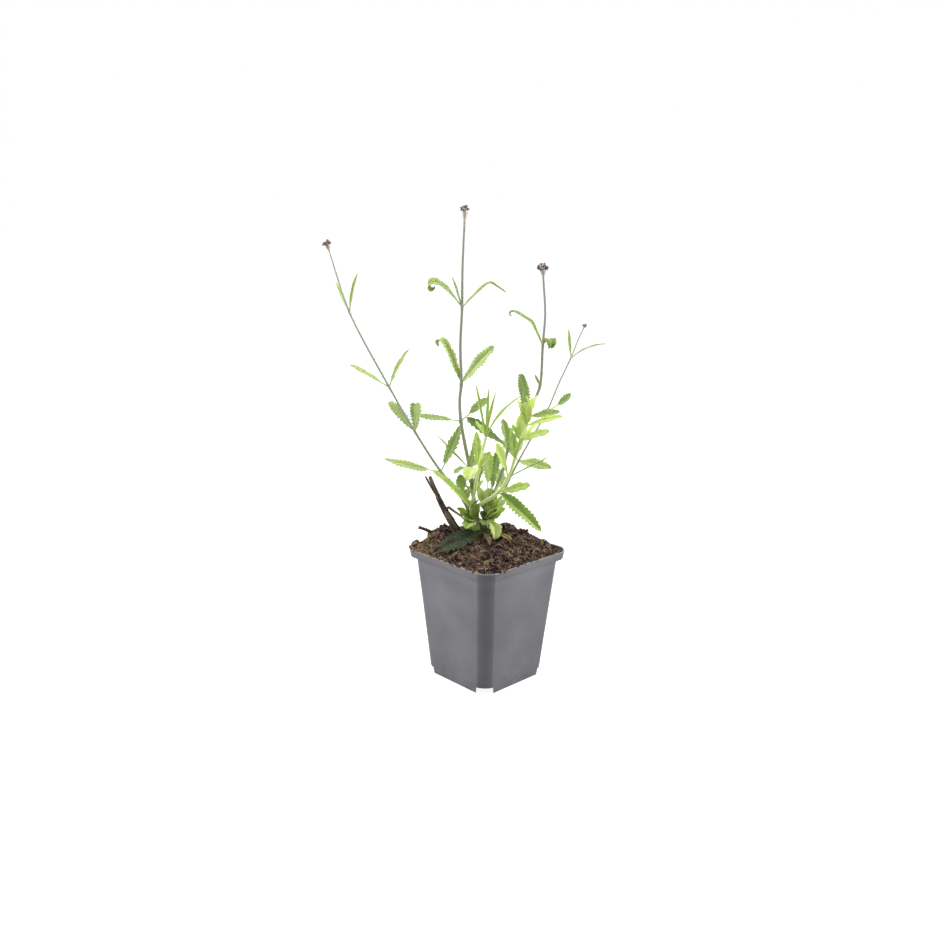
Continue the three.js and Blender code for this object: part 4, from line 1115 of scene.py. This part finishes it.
def fibre():
    p = Paint("fibre", 0.8, 0.3)
    p.base = p.mix(p.between(p.mark("tone"), -0.8, 0.8), (0.09, 0.05, 0.03), (0.66, 0.50, 0.31))
    p.coat(p.between(p.noise(9, 3), 0.46, 0.58), 0.6, (0.05, 0.028, 0.022))
    p.coat(p.noise(1.5, 3), 0.5, (0.05, 0.028, 0.016))
    return p.finish()


def foliage(name, deep, mid, pale, vein, under):
    """Leaf: darker between its veins, paler on them and underneath, mottled, thin enough to glow."""
    p = Paint(name, 0.55, 0.28)
    tone, veins, below, high = (p.mark(m) for m in ("tone", "vein", "under", "high"))
    cell = p.add("TexVoronoi", {"Vector": p.place(), "Scale": 1 / (1.1 * MM)}, feature="SMOOTH_F1")
    share = p.math("ADD", tone, p.math("SUBTRACT", p.noise(3.0, 4), 0.5))
    p.base = p.mix(p.between(share, -0.75, 0.1), deep, mid)
    p.coat(p.between(share, 0.1, 0.85), 1, pale)
    # Painted shade on top of the leaf's own dark green: the darkest tones, most of them on leaves low in the
    # crown, go almost black.
    p.coat(p.between(share, -0.9, -2.1), 0.7, (0.06, 0.10, 0.02))
    p.coat(p.between(cell, 0.25, 0.75), 0.12, pale)
    p.coat(p.times(veins, p.between(tone, -1.8, 0.0)), 0.42, vein)
    p.coat(p.times(below, p.between(tone, -1.3, -0.4)), 0.62, under)
    p.coat(p.between(high, 0.9, 1.0), 0.4, deep)
    p.glow(0.6, (1.0, 1.2, 0.35), 1.0)
    return p.finish(p.math("ADD", p.times(cell, -1.2), p.noise(0.45, 2)), 0.1, 0.45)


def stalk_skin(name, low, high, glow):
    """Stem: from its colour in the crown to its colour at the top, streaked along its length."""
    p = Paint(name, 0.5, 0.4)
    streak = p.noise(1.2, 3, (1, 1, 0.12))
    p.base = p.mix(p.between(p.mark("high"), 0.12, 0.75), low, high)
    p.coat(p.between(streak, 0.35, 0.7), 0.3, low)
    p.glow(glow, (1.0, 1.2, 0.7), 2.0 * glow)
    return p.finish(streak, 0.1, 0.5)


def hair():
    p = Paint("hair", 0.6, 0.3)
    p.base = p.mix(p.noise(4), (0.46, 0.52, 0.33), (0.60, 0.63, 0.50))
    return p.finish()


def dried_bud():
    p = Paint("dried_bud", 0.8, 0.3)
    tone = p.between(p.math("ADD", p.mark("tone"), p.noise(1.1, 3)), -0.1, 1.2)
    p.base = p.mix(tone, (0.16, 0.12, 0.12), (0.48, 0.41, 0.39))
    p.coat(p.mark("vein"), 0.35, (0.42, 0.33, 0.30))
    p.coat(p.between(p.mark("high"), 0.9, 1.1), 0.5, (0.02, 0.012, 0.02))
    return p.finish(p.noise(0.4, 3), 0.1, 0.6)


def pale_neck():
    p = Paint("pale_neck", 0.65, 0.35)
    p.base = p.mix(p.between(p.mark("high"), 0.0, 0.35), (0.42, 0.40, 0.32), (0.74, 0.67, 0.57))
    p.coat(p.noise(0.9, 3), 0.35, (0.30, 0.21, 0.19))
    return p.finish()


def dead_bark():
    p = Paint("dead_bark", 0.88, 0.25)
    grain = p.noise(1.6, 5, (1, 1, 0.25))
    p.base = p.mix(p.between(grain, 0.35, 0.65), (0.048, 0.032, 0.028), (0.165, 0.112, 0.092))
    p.coat(p.mark("vein"), 0.75, p.mix(grain, (0.26, 0.17, 0.13), (0.52, 0.40, 0.32)))
    return p.finish(grain, 0.4, 0.9)


def dead_blade(name, dark, light, patch, vein):
    """A dead leaf: patchy, with paler veins, and turned to `patch` away from its stalk."""
    p = Paint(name, 0.7, 0.3)
    p.base = p.mix(p.between(p.noise(1.6, 5), 0.35, 0.65), dark, light)
    p.coat(p.times(p.between(p.noise(3.4, 5), 0.45, 0.6), p.between(p.mark("high"), 0.15, 0.55)), 0.8, patch)
    p.coat(p.mark("vein"), 0.4, vein)
    return p.finish(p.noise(0.8, 4), 0.2, 0.8)


def white_floor():
    """A pale floor that glows to the white of the backdrop away from the object."""
    p = Paint("white_floor", 0.9, 0.1)
    p.base = (0.35, 0.35, 0.35)
    glow = p.between(p.away(0, 0), 150, 1000, 0.92, 1.0)
    seen = p.add("LightPath", {})
    p.feed(p.surface, {"Emission Color": (1, 1, 1), "Emission Strength": p.times(glow, seen)})
    return p.finish()


# ------------------------------------------------------------------------------- the object's pieces

# Each shoot's looks: the deep, middle and pale green of its leaves, their veins and their underside, then its
# stem's colours in the crown and at the top, and how much light the stem lets through.
SHOOT_LOOKS = {
    "shoot_left": (
        [(0.18, 0.27, 0.055), (0.37, 0.46, 0.14), (0.56, 0.62, 0.36), (0.57, 0.62, 0.38), (0.55, 0.61, 0.36)],
        [(0.44, 0.48, 0.33), (0.66, 0.67, 0.61)], 0.35),
    "shoot_tall": (
        [(0.15, 0.225, 0.05), (0.32, 0.4, 0.13), (0.51, 0.6, 0.28), (0.52, 0.59, 0.33), (0.5, 0.565, 0.35)],
        [(0.34, 0.38, 0.24), (0.47, 0.47, 0.40)], 0.35),
    "shoot_right": (
        [(0.12, 0.20, 0.04), (0.27, 0.37, 0.09), (0.47, 0.575, 0.24), (0.49, 0.57, 0.28), (0.46, 0.53, 0.29)],
        [(0.38, 0.44, 0.26), (0.56, 0.53, 0.56)], 0.35),
    "shoot_far": (
        [(0.14, 0.22, 0.05), (0.31, 0.41, 0.12), (0.50, 0.59, 0.25), (0.52, 0.60, 0.29), (0.48, 0.55, 0.30)],
        [(0.44, 0.48, 0.34), (0.60, 0.60, 0.56)], 0.35),
    "shoot_young": (
        [(0.31, 0.43, 0.09), (0.65, 0.79, 0.23), (0.79, 0.90, 0.41), (0.80, 0.90, 0.46), (0.72, 0.84, 0.33)],
        [(0.84, 0.94, 0.52), (0.80, 0.91, 0.48)], 0.8),
    "shoot_low": (
        [(0.12, 0.19, 0.04), (0.38, 0.50, 0.13), (0.61, 0.71, 0.27), (0.61, 0.71, 0.31), (0.57, 0.66, 0.31)],
        [(0.48, 0.60, 0.24), (0.50, 0.62, 0.25)], 0.5),
}


def make_shoots():
    fuzz = hair()
    for name, spec in SHOOTS.items():
        leaf_colours, stem_colours, glow = SHOOT_LOOKS[name]
        slot = "young_green" if name == "shoot_young" else "green"
        stems, leaves, hairs = Shape(), Shape(), Shape()
        grow(spec, stems, leaves, hairs)
        for *first, droop in SPROUTS.get(name, ()):
            sprout = leaf(*first, droop=droop)
            blade(leaves, hairs, spec["stem"][sprout["at"]], sprout)
        stem_look = stalk_skin(name.replace("shoot", "stem"), *stem_colours, glow)
        stems.build(name + "_stem", stem_look, slot, [name])
        leaves.build(name + "_leaves", foliage(name.replace("shoot", "leaf"), *leaf_colours), slot, [name])
        hairs.build(name + "_hairs", fuzz, slot)


def make_heads():
    bud_look, neck_look, fuzz = dried_bud(), pale_neck(), hair()
    for side in HEADS:
        name = "head_" + side
        buds, neck, hairs = Shape(), Shape(), Shape()
        flower_head(side, buds, neck, hairs)
        buds.build(name + "_buds", bud_look, "flower_head", [name])
        neck.build(name + "_neck", neck_look, "flower_head", [name])
        hairs.build(name + "_hairs", fuzz, "flower_head")


def make_dead_parts():
    wood = dead_bark()
    stub, twig = Shape(), Shape()
    bark(stub, STUB, 26, 22, seed=1)
    for k, arm in enumerate(STUB_ARMS):
        bark(stub, arm, 14, 14, seed=11 + k)
    stub.build("dead_stub_bark", wood, "dead_wood", ["dead_stub"])
    bark(twig, TWIG, 16, 14, seed=21)
    twig.build("dead_twig_bark", wood, "dead_wood", ["dead_twig"])
    for name, (end, spec, crumple, colours) in DEAD_LEAVES.items():
        dead = Shape()
        blade(dead, None, end, spec, crumple)
        dead.build(name + "_blade", dead_blade("dry_" + name, *colours), "dead_leaf", [name])


def make_soil():
    peat_look = peat()
    body, lumps, strands = Shape(), Shape(), Shape()
    soil_body(body)
    body.build("soil_body", peat_look, "soil", ["soil"])
    crumbs(lumps, 480, 0.9, 2.8, 1, 3)
    crumbs(lumps, 3400, 0.3, 1.0, 0, 5)
    crumbs(lumps, 900, 0.4, 1.1, 0, 7, drawn=2.6)
    crumbs(lumps, 900, 0.4, 1.3, 0, 9, places=on_lip)
    crumbs(lumps, 26, 2.2, 3.6, 2, 13, flat=1.0, places=on_heap)
    crumbs(lumps, 420, 0.4, 1.2, 0, 15, places=on_corner)
    lumps.build("soil_crumbs", peat_look, "soil")
    fibres(strands)
    strands.build("soil_fibres", fibre(), "soil")


# ------------------------------------------------------------------------------- studio

LAMP_TARGET = (0, 0, 130)
# Each softbox: its place in the plant's frame, its width and height, and its power in watts.
SOFTBOXES = {
    "softbox_left": ((-1000, 60, 330), (700, 1000), 12),
    "softbox_right": ((1000, 60, 330), (700, 1000), 12),
    "softbox_top": ((0, -60, 1150), (1000, 1000), 11),
    "softbox_back": ((0, 1100, 500), (1600, 1000), 8),
}
WORLD_FILL = 0.29  # strength of the light that comes from all round
FLOOR_SIDE = 40  # metres
CAMERA_AWAY, CAMERA_HIGH = 721, 342  # mm from the pot's middle, level with the floor and above it
CAMERA_DOWN, CAMERA_LEFT, CAMERA_ROLL = 14.27, 0.92, -0.7  # degrees that it looks down and left, and leans
FOCAL_LENGTH, SENSOR = 38.25, 36


def softbox(name, place, size, power):
    lamp = bpy.data.lights.new(name, "AREA")
    lamp.shape, lamp.size, lamp.size_y, lamp.energy = "RECTANGLE", size[0] * MM, size[1] * MM, power
    box = bpy.data.objects.new(name, lamp)
    bpy.context.scene.collection.objects.link(box)
    box.visible_camera = False
    place, target = (np.array(p) @ TO_ROW * MM for p in (place, LAMP_TARGET))
    box.location = place
    box.rotation_mode = "QUATERNION"
    box.rotation_quaternion = Vector(unit(target - place)).to_track_quat("-Z", "Y")


def studio():
    for name, (place, size, power) in SOFTBOXES.items():
        softbox(name, place, size, power)

    world = bpy.data.worlds.new("studio_white")
    bpy.context.scene.world = world
    world.use_nodes = True
    nodes, links = world.node_tree.nodes, world.node_tree.links
    fill, seen = nodes["Background"], nodes.new("ShaderNodeBackground")
    for background in (fill, seen):
        background.inputs["Color"].default_value = (1, 1, 1, 1)
    fill.inputs["Strength"].default_value = WORLD_FILL
    path, mix = nodes.new("ShaderNodeLightPath"), nodes.new("ShaderNodeMixShader")
    links.new(path.outputs["Is Camera Ray"], mix.inputs[0])
    links.new(fill.outputs[0], mix.inputs[1])
    links.new(seen.outputs[0], mix.inputs[2])
    links.new(mix.outputs[0], nodes["World Output"].inputs["Surface"])

    bpy.ops.mesh.primitive_plane_add(size=FLOOR_SIDE, location=(0, 0, 0))
    floor = bpy.context.object
    floor.name = "floor"
    floor.data.materials.append(white_floor())
    bpy.context.scene.view_settings.view_transform = "Standard"


def camera():
    lens = bpy.data.cameras.new("camera")
    lens.lens, lens.sensor_width = FOCAL_LENGTH, SENSOR
    view = bpy.data.objects.new("camera", lens)
    bpy.context.scene.collection.objects.link(view)
    down, yaw, roll = (math.radians(v) for v in (CAMERA_DOWN, -CAMERA_LEFT, CAMERA_ROLL))
    ahead = np.array([math.sin(yaw) * math.cos(down), math.cos(yaw) * math.cos(down), -math.sin(down)])
    right = np.array([math.cos(yaw), -math.sin(yaw), 0])
    top = np.cross(right, ahead)
    right, top = right * math.cos(roll) - top * math.sin(roll), right * math.sin(roll) + top * math.cos(roll)
    axes = TO_ROW.T @ np.column_stack([right, top, -ahead])
    place = np.array([0, -CAMERA_AWAY, CAMERA_HIGH]) @ TO_ROW * MM
    view.matrix_world = Matrix([[*axes[k], place[k]] for k in range(3)] + [[0, 0, 0, 1]])
    bpy.context.scene.camera = view


camera()
pot()
make_soil()
make_shoots()
make_heads()
make_dead_parts()
studio()
